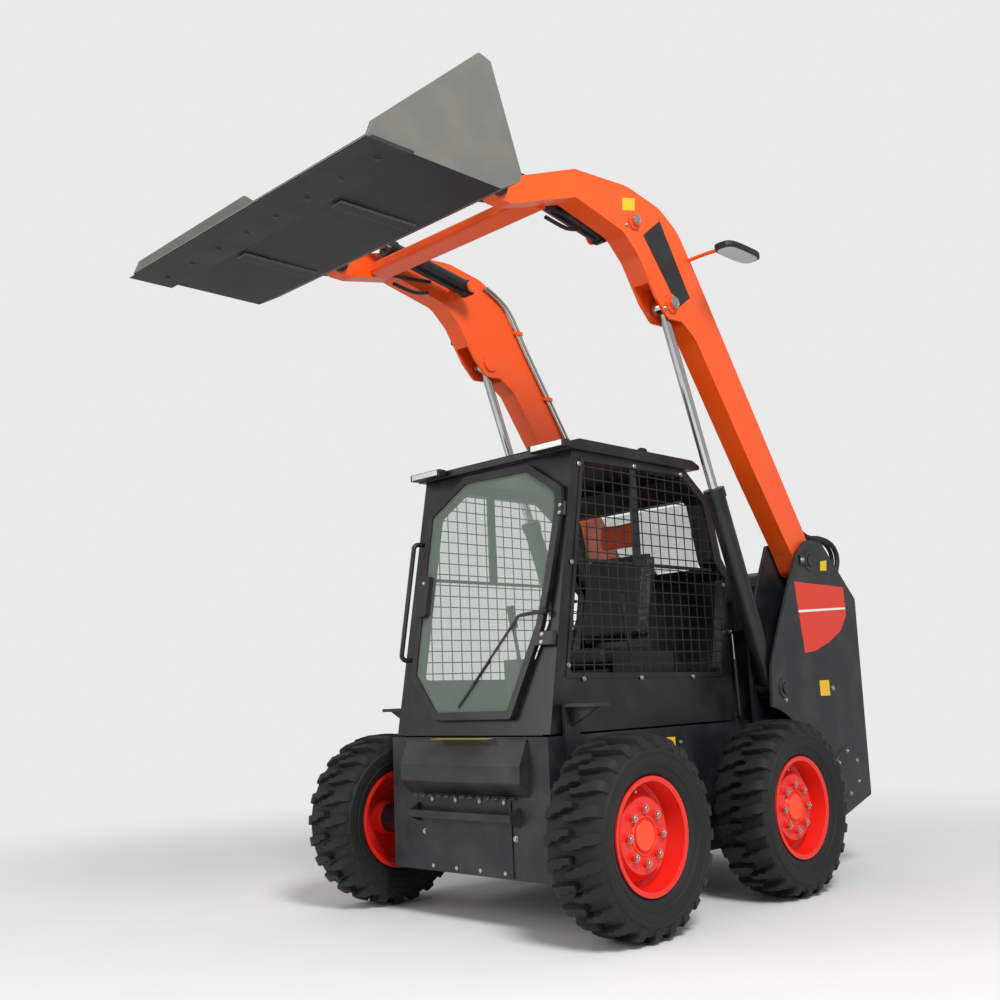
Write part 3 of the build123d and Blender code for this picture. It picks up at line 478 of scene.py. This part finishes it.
# ---- wheels ---------------------------------------------------------------------------------------------
def tyre(name, settings):
    """A tyre with deep stepped lugs from both shoulders, on the axle of its CAD tyre."""
    low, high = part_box(name)
    middle = Vector([(a + b) / 2 for a, b in zip(low, high)])
    top = (high[2] - low[2]) / 2 / MM
    half = (high[1] - low[1]) / 2 / MM
    deep = settings.lug_depth / MM
    base = top - deep
    wall = [(93, 211), (93, 225), (103, 233), (112, 246), (116, 258), (120, 260), (124, 268), (122, 271),
            (127, 284),
            (half - 4, 300), (half - 4, 306), (half - 1, 309), (half - 1, 322), (half - 5, 325),
            (half - 9, 338),
            (half - 15, base - 4), (half - 30, base)]
    rows = wall + [(0, base + 1)] + [(-y, r) for y, r in reversed(wall)]
    bm = bmesh.new()
    turned(bm, middle, (0, 1, 0), rows, 96)
    # A lug from past the middle out over the shoulder: across, top radius, foot radius, lead, half width.
    stations = [(-14, top, base - 4, 0, 10), (20, top, base - 4, 1, 12), (38, top - 0.8, base - 4, 13, 17),
                (68, top - 2, base - 4, 16, 17), (84, top - 5, base - 5, 29, 20),
                (half - 22, top - 10, base - 10, 33, 21),
                (half - 8, top - 24, base - 22, 36, 20), (half - 2, top - 50, base - 36, 37, 17)]
    pitch = 2 * math.pi / settings.lugs
    for side in (1, -1):
        for k in range(settings.lugs):
            turn = pitch * (k + (0.5 if side < 0 else 0))
            rings = []
            for y, high_r, foot_r, lead, wide in stations:
                ring = []
                for r, w in ((foot_r, wide + 5), (high_r, wide), (high_r, -wide), (foot_r, -wide - 5)):
                    t = turn + side * lead / top + w / top
                    inner = min(y, half - 12) if r == foot_r else y
                    ring.append(bm.verts.new(middle + MM * Vector((r * math.cos(t), side * inner,
                                                                   r * math.sin(t)))))
                rings.append(ring)
            for a, b in zip(rings, rings[1:]):
                for i in range(4):
                    j = (i + 1) % 4
                    bm.faces.new((a[i], a[j], b[j], b[i]))
            bm.faces.new(rings[0])
            bm.faces.new(list(reversed(rings[-1])))
    made = piece(bm, f"treaded_{name}", "tyre", name.replace("tyre", "wheel"), smooth=True)
    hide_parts(name)


def wheel_hardware(end, name, side):
    """Studs with hexagon nuts, hub ring and valve of one wheel, on the outer face of its disc."""
    low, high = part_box(f"rim_{end}_{name}")
    middle = Vector([(a + b) / 2 for a, b in zip(low, high)])
    outward = Vector((0, side, 0))
    face = Vector((middle.x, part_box(f"tyre_{end}_{name}")[0][1] + 0.132, middle.z)) + outward * DISC_FACE * MM
    bm = bmesh.new()
    for k in range(8):
        t = math.pi * k / 4
        seat = face + STUD_CIRCLE_R * MM * Vector((math.cos(t), 0, math.sin(t))) + outward * 16 * MM
        bolt(bm, seat, outward, 21, 5)
        turned(bm, seat, outward, [(7, 0), (7, 6), (13, 5.2), (13, 0)], 14)
    t = math.radians(68)
    valve = face + 182 * MM * Vector((math.cos(t), 0, math.sin(t))) - outward * 22 * MM
    turned(bm, valve, outward, [(0, 0), (0, 7), (8, 7), (10, 4), (38, 4), (40, 5.5), (50, 5), (50, 0)], 14)
    body = f"wheel_{end}_{name}"
    piece(bm, f"studs_{end}_{name}", "zinc", body, smooth=True)
    bm = bmesh.new()
    turned(bm, face, outward, [(0, 69), (0, 76), (4, 75), (7, 72), (7, 70), (4, 69)], 48)
    turned(bm, face, outward, [(8, 0), (8, 56), (11, 53), (13, 30), (13, 0)], 48)
    piece(bm, f"hub_ring_{end}_{name}", "hub_paint", body, smooth=True)


# ---- cab ------------------------------------------------------------------------------------------------
GUARD = [(422, 1547), (-314, 1560), (-488, 1428), (-554, 1145), (-633, 1065), (-534, 592), (587, 605)]


def side_guard(name, side, settings):
    """Welded wire mesh in a flat steel rim, with its bolts."""
    low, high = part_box(f"side_screen_{name}")
    y = (low[1] if side > 0 else high[1]) / MM
    bm = bmesh.new()
    inner = [tuple(p) for p in inset(GUARD, 20)]
    outer_ring = [place(x, y, z) for x, z in GUARD]
    inner_ring = [place(x, y, z) for x, z in inner]
    rise = Vector((0, side * 5 * MM, 0))
    for i in range(len(GUARD)):
        j = (i + 1) % len(GUARD)
        slab(bm, [outer_ring[i], outer_ring[j], inner_ring[j], inner_ring[i]], rise)
    piece(bm, f"guard_rim_{name}", "cab_paint", "cab", round_mm=1.0)
    bm = bmesh.new()
    field = [tuple(p) for p in inset(GUARD, 12)]
    thick = settings.wire / MM
    for axis, pitch, depth in ((0, settings.wire_across / MM, 0.2), (1, settings.wire_up / MM, 2.6)):
        first, last = min(p[axis] for p in field), max(p[axis] for p in field)
        count = int((last - first) / pitch)
        for k in range(1, count + 1):
            at = first + k * pitch
            for a, b in spans(field, at, axis):
                if axis == 0:
                    corners = ((at - thick / 2, a), (at + thick / 2, a), (at + thick / 2, b),
                               (at - thick / 2, b))
                else:
                    corners = ((a, at - thick / 2), (b, at - thick / 2), (b, at + thick / 2),
                               (a, at + thick / 2))
                slab(bm, [place(x, y + side * depth, z) for x, z in corners], Vector((0, side * 2.4 * MM, 0)))
    wires = piece(bm, f"guard_wires_{name}", "guard", "cab")
    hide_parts(f"side_screen_{name}")
    bm = bmesh.new()
    for x, z in ((440, 1513), (519, 1084), (570, 657), (478, 600), (93, 598), (-290, 596), (55, 1545),
                 (-300, 1545),
                 (-590, 1030)):
        bolt(bm, place(x, y + side * 5, z), (0, side, 0), 13, 5)
    piece(bm, f"guard_bolts_{name}", "zinc", "cab", smooth=True)


def window_bars(name, side):
    """Sliding window's level rail and mullion inside the side frame."""
    bm = bmesh.new()
    y0, y1 = sorted((side * 452, side * 464))
    box(bm, (-520, y0, 1092), (470, y1, 1107))
    box(bm, (28, y0, 1107), (77, y1, 1534))
    piece(bm, f"window_bars_{name}", "cab_paint", "cab", round_mm=1.5)


def cushion(node, rise_mm, cap_mm, finish, channels=()):
    """A padded piece swollen by pressure from a smaller block, in the room of its CAD solid."""
    low, high = [Vector(c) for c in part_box(node)]
    gap = Vector([min(rise_mm * MM, (b - a) * 0.2) for a, b in zip(low, high)])
    low, high = low + gap, high - gap
    bm = bmesh.new()
    bmesh.ops.create_cube(bm, size=1.0)
    middle, span = (low + high) / 2, high - low
    lean = 0.0
    if node in ("seat_back", "headrest"):
        lean = -0.10 if node == "seat_back" else -0.04
    for v in bm.verts:
        t = v.co.z + 0.5
        shift = lean * span.z * (t - 0.5) * 2
        v.co = middle + Vector((v.co.x * span.x * (0.62 if lean else 1.0) + shift, v.co.y * span.y,
                                v.co.z * span.z))
    bmesh.ops.bevel(bm, geom=bm.edges[:], offset=min(span) * 0.22, segments=3, affect="EDGES")
    made = piece(bm, f"padded_{node}", finish)
    mesher = made.modifiers.new("mesher", "REMESH")
    mesher.mode = "VOXEL"
    mesher.voxel_size = 0.006
    apply(made)
    start = [v.co.copy() for v in made.data.vertices]
    cloth = made.modifiers.new("cloth", "CLOTH")
    cloth.settings.use_pressure = True
    cloth.settings.uniform_pressure_force = 4.0
    cloth.settings.effector_weights.gravity = 0.0
    for tick in range(1, 21):
        bpy.context.scene.frame_set(tick)
    apply(made)
    bpy.context.scene.frame_set(1)
    for v, old in zip(made.data.vertices, start):
        move = v.co - old
        if move.length > cap_mm * MM:
            v.co = old + move.normalized() * cap_mm * MM
    for axis, at in channels:
        line_at = low[axis] + at * span[axis]
        for v in made.data.vertices:
            near = abs(v.co[axis] - line_at)
            if near < 0.012:
                v.co += (middle - v.co).normalized() * 0.004 * (1 - near / 0.012)
    even = made.modifiers.new("even", "SUBSURF")
    even.levels = even.render_levels = 1
    apply(made)
    made.data.shade_smooth()
    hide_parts(node)
    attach(made, "cab")


def apply(made):
    """Takes the piece's modifiers into its mesh."""
    bpy.context.view_layer.update()
    graph = bpy.context.evaluated_depsgraph_get()
    mesh = bpy.data.meshes.new_from_object(made.evaluated_get(graph))
    made.modifiers.clear()
    made.data = mesh


def door_fittings():
    """Wiper and hinge bolts of the front door."""
    square = Vector((math.cos(LEAN), 0, math.sin(LEAN)))

    def on_door(y, z, out):
        return place(front_x(z), y, z) + square * out * MM

    bm = bmesh.new()
    for (y0, z0, w0), (y1, z1, w1) in (((409, 877, 9), (273, 871, 7)), ((273, 871, 7), (30, 594, 4))):
        a, b = on_door(y0, z0, 16), on_door(y1, z1, 12)
        aside = (b - a).normalized().cross(square)
        slab(bm, [a + aside * w0 * MM, b + aside * w1 * MM, b - aside * w1 * MM, a - aside * w0 * MM],
             square * 5 * MM)
    a, b = on_door(118, 694, 7.5), on_door(-52, 501, 7.5)
    aside = (b - a).normalized().cross(square)
    slab(bm, [a + aside * 5 * MM, b + aside * 5 * MM, b - aside * 5 * MM, a - aside * 5 * MM],
         square * 7 * MM)
    turned(bm, on_door(409, 877, 14), square, [(0, 0), (0, 16), (10, 15), (14, 8), (14, 0)], 24)
    piece(bm, "wiper", "black_plastic", "front_door", round_mm=0.8)
    bm = bmesh.new()
    for z, y in ((1305, 445), (767, 400)):
        for dz in (-16, 16):
            bolt(bm, on_door(y + 14, z + dz, 18), square, 10, 4)
    bolt(bm, on_door(-340, 1060, 40), square, 10, 3)
    piece(bm, "door_bolts", "zinc", "front_door", smooth=True)


def lamps_and_mirrors():
    """Ribbed lenses on the work lamps, and the mirrors' shells, glasses and stalks."""
    face = (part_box("work_lamps")[1][0] - AXLE_X) / MM
    bm = bmesh.new()
    for side in (1, -1):
        y0, y1 = sorted((side * 305, side * 482))
        box(bm, (face, y0, 1579), (face + 3, y1, 1603))
        for k in range(1, 12):
            y = y0 + (y1 - y0) * k / 12
            box(bm, (face + 2.5, y - 2.5, 1581), (face + 4.5, y + 2.5, 1601))
    piece(bm, "lamp_lenses", "lamp", "cab", round_mm=0.6)
    shell, glass = bmesh.new(), bmesh.new()
    for name, side in SIDES:
        route = ((-236, 648, 2548), (-240, 700, 2552), (-246, 780, 2556), (-254, 838, 2550),
                 (-258, 868, 2545))
        line(f"mirror_stalk_{name}", [place(x, side * y, z) for x, y, z in route], 9, "arm_paint",
             "lift_arms")
        corners = []
        for k in range(24):
            t = 2 * math.pi * k / 24
            c, s = math.cos(t), math.sin(t)
            x = math.copysign(abs(c) ** 0.55, c) * 140
            y = math.copysign(abs(s) ** 0.55, s) * 56
            corners.append((-280 + x, side * 893 + y))
        slab(shell, [place(x, y, 2512) for x, y in corners], Vector((0, 0, 28 * MM)))
        turned(shell, place(-258, side * 870, 2536), (0, 0, 1), [(0, 0), (0, 18), (16, 16), (16, 0)], 20)
        pane = [(-280 + (x + 280) * 0.9, side * 893 + (y - side * 893) * 0.86) for x, y in corners]
        slab(glass, [place(x, y, 2510.5) for x, y in pane], Vector((0, 0, 3 * MM)))
    made = piece(shell, "mirror_shells", "black_plastic", "lift_arms", round_mm=6.0)
    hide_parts("mirrors")
    piece(glass, "mirror_glasses", "silvered", "lift_arms")


# ---- fasteners, pins and plates -------------------------------------------------------------------------
def pins():
    """Bright pin ends with ring grooves, and the keeper plates beside them."""
    arm, case = bmesh.new(), bmesh.new()
    keeper = bmesh.new()
    for _, side in SIDES:
        out = (0, side, 0)
        for (x, z), radius in (((180, 2630), 25), ((-70, 2295), 28)):
            turned(arm, place(x, side * PIN_FACE, z), out,
                   [(0, 0), (0, radius), (4, radius), (4, radius - 5), (2.5, radius - 6), (2.5, radius - 10),
                    (5, radius - 11),
                    (5, 0)], 32)
            bolt(arm, place(x + 46, side * (ARM_FACE + 1), z - 30), out, 13, 6)
        for (x, z), radius in (((-1080, 1152), 30), ((-744, 525), 24)):
            turned(case, place(x, side * UPRIGHT_FACE, z), out,
                   [(0, 0), (0, radius), (7, radius), (9, radius - 3), (9, radius - 8), (7, radius - 9),
                    (7, 0)], 32)
            turned(keeper, place(x, side * UPRIGHT_FACE, z), out,
                   [(0, radius + 2), (0, radius + 26), (5, radius + 25), (5, radius + 2)], 40)
        slab(keeper, [place(x, side * UPRIGHT_FACE, z) for x,
                      z in ((-1040, 1128), (-978, 1128), (-978, 1176), (-1040, 1176))],
             Vector((0, side * 8 * MM, 0)))
        bolt(case, place(-992, side * (UPRIGHT_FACE + 8), 1152), out, 17, 7)
        bolt(case, place(-744, side * UPRIGHT_FACE, 470), out, 15, 6)
    piece(arm, "arm_pins", "zinc", "lift_arms", smooth=True)
    piece(case, "upright_pins", "zinc", "chassis", smooth=True)
    piece(keeper, "pin_collars", "chassis_paint", "chassis", round_mm=1.0)


def plate_bolts():
    """Bolts of the front plate, the case covers and the cutting edge."""
    bm = bmesh.new()
    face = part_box("chassis_tub")[1][0] / MM - AXLE_X / MM
    for y, z in ((-210, 117), (-63, 117), (83, 117), (226, 117), (-267, -21), (282, -23), (-214, -160),
                 (-68, -160),
                 (76, -160), (220, -160)):
        bolt(bm, place(face, y, z), (1, 0, 0), 16, 7)
    cover = bmesh.new()
    for _, side in SIDES:
        turned(cover, place(-1280, side * UPRIGHT_FACE, 95), (0, side, 0),
               [(0, 0), (0, 125), (5, 122), (7, 60), (7, 0)], 56)
        for k in range(6):
            t = math.radians(60 * k + 30)
            bolt(bm, place(-1280 + 104 * math.cos(t), side * (UPRIGHT_FACE + 5), 95 + 104 * math.sin(t)),
                 (0, side, 0), 13, 5)
    for _, side in SIDES:
        bolt(bm, place(-160, side * CASE_SIDE, 307), (0, side, 0), 13, 5)
        turned(bm, place(-1201, side * UPRIGHT_FACE, 514), (0, side, 0),
               [(0, 0), (0, 13), (4, 12), (5, 6), (5, 0)], 24)
    piece(bm, "chassis_bolts", "zinc", "chassis", smooth=True)
    piece(cover, "case_covers", "chassis_paint", "chassis", smooth=True)
    bm = bmesh.new()
    low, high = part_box("cutting_edge")
    for k in range(8):
        y = (low[1] + (high[1] - low[1]) * (k + 0.5) / 8) / MM
        bolt(bm, place(1720, y, (low[2] - AXLE_Z) / MM + 2), (0, 0, -1), 20, 5)
    piece(bm, "edge_bolts", "edge_steel", "bucket", smooth=True)


def step_tread():
    """Rows of raised, toothed round holes along the front step."""
    low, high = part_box("front_step")
    y0, y1 = low[1] / MM, high[1] / MM
    x = (high[0] - AXLE_X) / MM
    z = (high[2] - AXLE_Z) / MM
    bm = bmesh.new()
    for row in range(2):
        for k in range(12):
            y = y0 + (y1 - y0) * (k + 0.5 + 0.5 * row) / 12.5
            seat = place(x - 20 - 28 * row, y, z)
            turned(bm, seat, (0, 0, 1), [(-1, 8), (-1, 14), (3, 12), (3, 9)], 14)
            for t in (math.pi * n / 4 for n in range(8)):
                tooth = seat + 10.5 * MM * Vector((math.cos(t), math.sin(t), 0))
                turned(bm, tooth, (0, 0, 1), [(2, 0), (2, 2.4), (6, 1.2), (6, 0)], 6)
    piece(bm, "step_tread", "chassis_paint", "chassis")


def sign(name, finish, body, y, side, corners, thick=1.0):
    """A bare film or plate on an upright face."""
    bm = bmesh.new()
    slab(bm, [place(x, side * y, z) for x, z in corners], Vector((0, side * thick * MM, 0)))
    return piece(bm, name, finish, body)


def signs():
    """Blank films and label plates of the arms, uprights and front housing."""
    low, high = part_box("front_housing")
    bm = bmesh.new()
    top = (high[2] - AXLE_Z) / MM
    box(bm, ((low[0] - AXLE_X) / MM + 20, -150, top), ((low[0] - AXLE_X) / MM + 60, 190, top + 1))
    piece(bm, "housing_label", "yellow", "chassis")
    for name, side in SIDES:
        sign(f"arm_panel_{name}", "black_film", "lift_arms", ARM_FACE, side,
             ((-23, 2688), (110, 2582), (-127, 2289), (-225, 2359)))
        sign(f"arm_label_{name}", "yellow", "lift_arms", ARM_FACE, side,
             ((249, 2722), (157, 2747), (163, 2685), (251, 2662)))
        sign(f"upright_label_{name}", "yellow", "chassis", UPRIGHT_FACE, side,
             ((-1186, 1155), (-1250, 1164), (-1241, 1110), (-1178, 1107)))
        sign(f"side_label_{name}", "yellow", "chassis", CASE_SIDE, side,
             ((-118, 279), (-3, 279), (-3, 333), (-118, 333)))
        sign(f"lock_label_{name}", "yellow", "chassis", UPRIGHT_FACE, side,
             ((-1168, 478), (-1075, 478), (-1075, 554), (-1168, 554)))
        edge = ((-910, 1040), (-1400, 1030), (-1405, 882), (-1330, 800), (-1200, 742), (-1060, 700),
                (-960, 690))
        sign(f"upright_film_{name}", "red_film", "chassis", UPRIGHT_FACE, side, edge, 0.8)
        sign(f"upright_stripe_{name}", "white_film", "chassis", UPRIGHT_FACE + 0.8, side,
             ((-930, 900), (-1402, 925), (-1402, 915), (-930, 888)), 0.5)


# ---- covers and hoses -----------------------------------------------------------------------------------
def hood_dome():
    """Raised crown of the hood, a pressed cover with rounded shoulders."""
    bm = bmesh.new()
    rows = ((-905, 925), (-915, 1040), (-950, 1095), (-1010, 1116), (-1150, 1112), (-1300, 1070),
            (-1420, 1000),
            (-1470, 925))
    slab(bm, [place(x, -470, z) for x, z in rows], Vector((0, 940 * MM, 0)))
    piece(bm, "hood_crown", "cab_paint", "hood_lid", round_mm=14.0)


def hoses(settings):
    """Loop hoses past the arm pivots, the arms' pipes and the hoses of the tilt cylinders."""
    radius = settings.hose / MM / 2
    for name, side in SIDES:
        for tag, y, r in (("outer", 615, radius), ("inner", 585, radius - 2)):
            route = ((-1032, 1412), (-1064, 1366), (-1100, 1318), (-1190, 1282), (-1300, 1292), (-1420, 1275),
                     (-1480, 1225), (-1478, 1150), (-1413, 1063))
            loop = as_mesh(line(f"loop_hose_{tag}_{name}", [place(x, side * y, z) for x, z in route], r,
                                "hose_rubber"))
            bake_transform(loop)
        # Steel pipes along the inner face of the arm, with their clips.
        clips = bmesh.new()
        for shift in (0, 24):
            rows = ((-905, 1600), (-840, 1690), (-640, 1990), (-420, 2318), (-330, 2450), (-262, 2580),
                    (-180, 2668),
                    (-60, 2716))
            line(f"arm_pipe_{shift}_{name}", [place(x + shift, side * 534, z - shift * 0.4) for x,
                                              z in rows], 7,
                 "zinc", "lift_arms")
        for x, z in ((-800, 1752), (-520, 2168), (-300, 2508)):
            low, high = sorted((side * 524, side * 546))
            box(clips, (x - 18, low, z - 14), (x + 42, high, z + 8))
        piece(clips, f"pipe_clips_{name}", "arm_paint", "lift_arms", round_mm=2.0)
        for tag, rows in (("upper", ((723, 2600), (613, 2616), (501, 2622), (371, 2640))),
                          ("lower", ((616, 2573), (506, 2556), (445, 2562), (390, 2580)))):
            line(f"tilt_hose_{tag}_{name}", [place(x, side * 512, z) for x, z in rows], 9, "hose_rubber",
                 "lift_arms")


def as_mesh(made):
    """Turns a curve piece into a mesh piece of the same name."""
    bpy.context.view_layer.update()
    graph = bpy.context.evaluated_depsgraph_get()
    mesh = bpy.data.meshes.new_from_object(made.evaluated_get(graph))
    name, finish = made.name, made["finish"]
    bpy.data.objects.remove(made)
    solid = bpy.data.objects.new(name, mesh)
    bpy.context.scene.collection.objects.link(solid)
    if not mesh.materials:
        mesh.materials.append(FINISH[finish])
    mesh.shade_smooth()
    name_slot(solid, finish)
    return solid


# ---- stage ----------------------------------------------------------------------------------------------
def camera(settings):
    """The studio camera, from its place, heading, rise and roll."""
    heading, rise, roll = settings.heading, settings.rise, settings.roll
    ahead = Vector((math.cos(heading) * math.cos(rise), math.sin(heading) * math.cos(rise), math.sin(rise)))
    level = Vector((math.sin(heading), -math.cos(heading), 0))
    up = level.cross(ahead)
    right = math.cos(roll) * level + math.sin(roll) * up
    top = math.cos(roll) * up - math.sin(roll) * level
    data = bpy.data.cameras.new("studio_camera")
    data.sensor_width = 36.0
    data.lens = settings.lens
    data.clip_end = 100.0
    view = bpy.data.objects.new("studio_camera", data)
    turn = Matrix((right, top, -ahead)).transposed()
    view.matrix_world = Matrix.Translation(settings.place) @ turn.to_4x4()
    bpy.context.scene.collection.objects.link(view)
    bpy.context.scene.camera = view


def studio_floor():
    """A wide pale floor."""
    half = 30.0
    mesh = bpy.data.meshes.new("studio_floor")
    mesh.from_pydata([(-half, -half, 0), (half, -half, 0), (half, half, 0), (-half, half, 0)], [],
                     [(0, 1, 2, 3)])
    floor = bpy.data.objects.new("studio_floor", mesh)
    bpy.context.scene.collection.objects.link(floor)
    made, tree, shader = material("painted_studio_floor")
    # Matt wall paint on a smooth screed: almost white, no gloss; white to the camera and to mirrors.
    mottle = grain(tree, 400, 3.0)
    tint = add(tree, "ShaderNodeMapRange", {"To Min": 0.80, "To Max": 0.84}, {"Value": mottle.outputs["Fac"]})
    tree.links.new(tint.outputs["Result"], shader.inputs["Base Color"])
    shader.inputs["Roughness"].default_value = 0.95
    # Far off, the floor runs into the backdrop: it takes the backdrop's own level there.
    at = add(tree, "ShaderNodeTexCoord")
    away = add(tree, "ShaderNodeVectorMath", {"operation": "LENGTH"}, {0: at.outputs["Object"]})
    far = add(tree, "ShaderNodeMapRange", {"From Min": 1.6, "From Max": 6.0,
                                           "interpolation_type": "SMOOTHSTEP"},
              {"Value": away.outputs["Value"]})
    ray = add(tree, "ShaderNodeLightPath")
    seen = add(tree, "ShaderNodeMath", {"operation": "MULTIPLY"},
               {0: far.outputs["Result"], 1: ray.outputs["Is Camera Ray"]})
    glow = add(tree, "ShaderNodeEmission", {"Color": (1, 1, 1, 1), "Strength": BACKDROP})
    both = add(tree, "ShaderNodeMixShader", None, {0: seen.outputs["Value"], 1: shader.outputs[0],
                                                   2: glow.outputs[0]})
    tree.links.new(both.outputs[0], tree.nodes["Material Output"].inputs["Surface"])
    mesh.materials.append(made)


def lamp(name, place, aim, size, power):
    data = bpy.data.lights.new(name, "AREA")
    data.shape = "DISK"
    data.size = size
    data.energy = power
    made = bpy.data.objects.new(name, data)
    made.location = place
    made.rotation_euler = (Vector(aim) - Vector(place)).to_track_quat("-Z", "Y").to_euler()
    bpy.context.scene.collection.objects.link(made)


def studio_light():
    world = bpy.data.worlds.new("studio")
    bpy.context.scene.world = world
    world.use_nodes = True
    world.node_tree.nodes["Background"].inputs["Color"].default_value = (1, 1, 1, 1)
    world.node_tree.nodes["Background"].inputs["Strength"].default_value = 0.5
    tree = world.node_tree
    # The lens, mirrors and glass see the pale backdrop; the loader is lit at the plainer level above.
    ray = add(tree, "ShaderNodeLightPath")
    level = add(tree, "ShaderNodeMapRange", {"To Min": 0.5, "To Max": BACKDROP},
                {"Value": ray.outputs["Is Camera Ray"]})
    tree.links.new(level.outputs["Result"], tree.nodes["Background"].inputs["Strength"])
    lamp("key", (3.0, 5.5, 6.5), (0, 0, 1.2), 2.5, 540)
    lamp("fill", (6.0, -3.0, 3.0), (0, 0, 1.2), 3.0, 90)


class LOADER_OT_stage(bpy.types.Operator):
    """Sets up the studio: camera, floor and light"""
    bl_idname = "loader.stage"
    bl_label = "Studio"

    def execute(self, context):
        camera(context.scene.loader_camera)
        studio_floor()
        studio_light()
        context.scene.view_settings.view_transform = "Standard"
        return {"FINISHED"}


class LOADER_OT_paint(bpy.types.Operator):
    """Gives the frame's own pieces their finishes"""
    bl_idname = "loader.paint"
    bl_label = "Finishes"

    def execute(self, context):
        mix_finishes(context.scene.loader_colours)
        for part in frame["record"]["subparts"]:
            node = frame["nodes"][part["node"]]
            node.data.materials.clear()
            node.data.materials.append(FINISH[part["material_slot"]])
        # The lamps' housings are black; their lenses are pieces of their own.
        housings = frame["nodes"]["work_lamps"].data.materials
        housings.clear()
        housings.append(FINISH["black_plastic"])
        return {"FINISHED"}


class LOADER_OT_tyres(bpy.types.Operator):
    """Fits the four treaded tyres"""
    bl_idname = "loader.tyres"
    bl_label = "Tyres"

    def execute(self, context):
        for end in ("front", "rear"):
            for name, _ in SIDES:
                tyre(f"tyre_{end}_{name}", context.scene.loader_sizes)
        return {"FINISHED"}


class LOADER_OT_wheels(bpy.types.Operator):
    """Fits studs, nuts, hub rings and valves"""
    bl_idname = "loader.wheels"
    bl_label = "Wheel hardware"

    def execute(self, context):
        for end in ("front", "rear"):
            for name, side in SIDES:
                wheel_hardware(end, name, side)
        return {"FINISHED"}


class LOADER_OT_guards(bpy.types.Operator):
    """Fits the wire guards and window bars of the cab"""
    bl_idname = "loader.guards"
    bl_label = "Side guards"

    def execute(self, context):
        for name, side in SIDES:
            side_guard(name, side, context.scene.loader_sizes)
            window_bars(name, side)
        return {"FINISHED"}


class LOADER_OT_seat(bpy.types.Operator):
    """Makes the padded seat cushion, back and headrest"""
    bl_idname = "loader.seat"
    bl_label = "Seat"

    def execute(self, context):
        cushion("seat_cushion", 12, 12, "seat_vinyl", ((1, 0.22), (1, 0.78)))
        cushion("seat_back", 12, 12, "seat_vinyl", ((2, 0.35), (2, 0.7)))
        cushion("headrest", 8, 8, "headrest_cover")
        return {"FINISHED"}


class LOADER_OT_door(bpy.types.Operator):
    """Fits the wiper and bolts of the front door"""
    bl_idname = "loader.door"
    bl_label = "Door fittings"

    def execute(self, context):
        door_fittings()
        return {"FINISHED"}


class LOADER_OT_lamps(bpy.types.Operator):
    """Fits lamp lenses and mirrors"""
    bl_idname = "loader.lamps"
    bl_label = "Lamps and mirrors"

    def execute(self, context):
        lamps_and_mirrors()
        return {"FINISHED"}


class LOADER_OT_pins(bpy.types.Operator):
    """Fits pins, keepers, covers and bolts"""
    bl_idname = "loader.pins"
    bl_label = "Pins and bolts"

    def execute(self, context):
        pins()
        plate_bolts()
        step_tread()
        return {"FINISHED"}


class LOADER_OT_signs(bpy.types.Operator):
    """Lays the blank films and labels"""
    bl_idname = "loader.signs"
    bl_label = "Films and labels"

    def execute(self, context):
        signs()
        return {"FINISHED"}


class LOADER_OT_covers(bpy.types.Operator):
    """Fits the raised crown of the hood"""
    bl_idname = "loader.covers"
    bl_label = "Hood crown"

    def execute(self, context):
        hood_dome()
        return {"FINISHED"}


class LOADER_OT_hoses(bpy.types.Operator):
    """Runs the hoses and pipes"""
    bl_idname = "loader.hoses"
    bl_label = "Hoses and pipes"

    def execute(self, context):
        hoses(context.scene.loader_sizes)
        return {"FINISHED"}


STEPS = ("stage", "paint", "tyres", "wheels", "guards", "seat", "door",
         "lamps", "pins", "signs", "covers", "hoses")


class LOADER_PT_steps(bpy.types.Panel):
    """Steps that dress the loader"""
    bl_idname = "LOADER_PT_steps"
    bl_label = "Skid steer loader"
    bl_space_type = "VIEW_3D"
    bl_region_type = "UI"
    bl_category = "Loader"

    def draw(self, context):
        for step in STEPS:
            self.layout.operator(f"loader.{step}")


CLASSES = (LoaderColours, LoaderSizes, LoaderCamera, LOADER_OT_stage, LOADER_OT_paint, LOADER_OT_tyres,
           LOADER_OT_wheels, LOADER_OT_guards,
           LOADER_OT_seat, LOADER_OT_door, LOADER_OT_lamps, LOADER_OT_pins, LOADER_OT_signs,
           LOADER_OT_covers, LOADER_OT_hoses, LOADER_PT_steps)


def register():
    for one in CLASSES:
        bpy.utils.register_class(one)
    bpy.types.Scene.loader_colours = PointerProperty(type=LoaderColours)
    bpy.types.Scene.loader_sizes = PointerProperty(type=LoaderSizes)
    bpy.types.Scene.loader_camera = PointerProperty(type=LoaderCamera)


def unregister():
    del bpy.types.Scene.loader_camera
    del bpy.types.Scene.loader_sizes
    del bpy.types.Scene.loader_colours
    for one in reversed(CLASSES):
        bpy.utils.unregister_class(one)


def main():
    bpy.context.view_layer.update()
    register()
    for step in STEPS:
        getattr(bpy.ops.loader, step)()


if __name__ == "__main__":
    main()
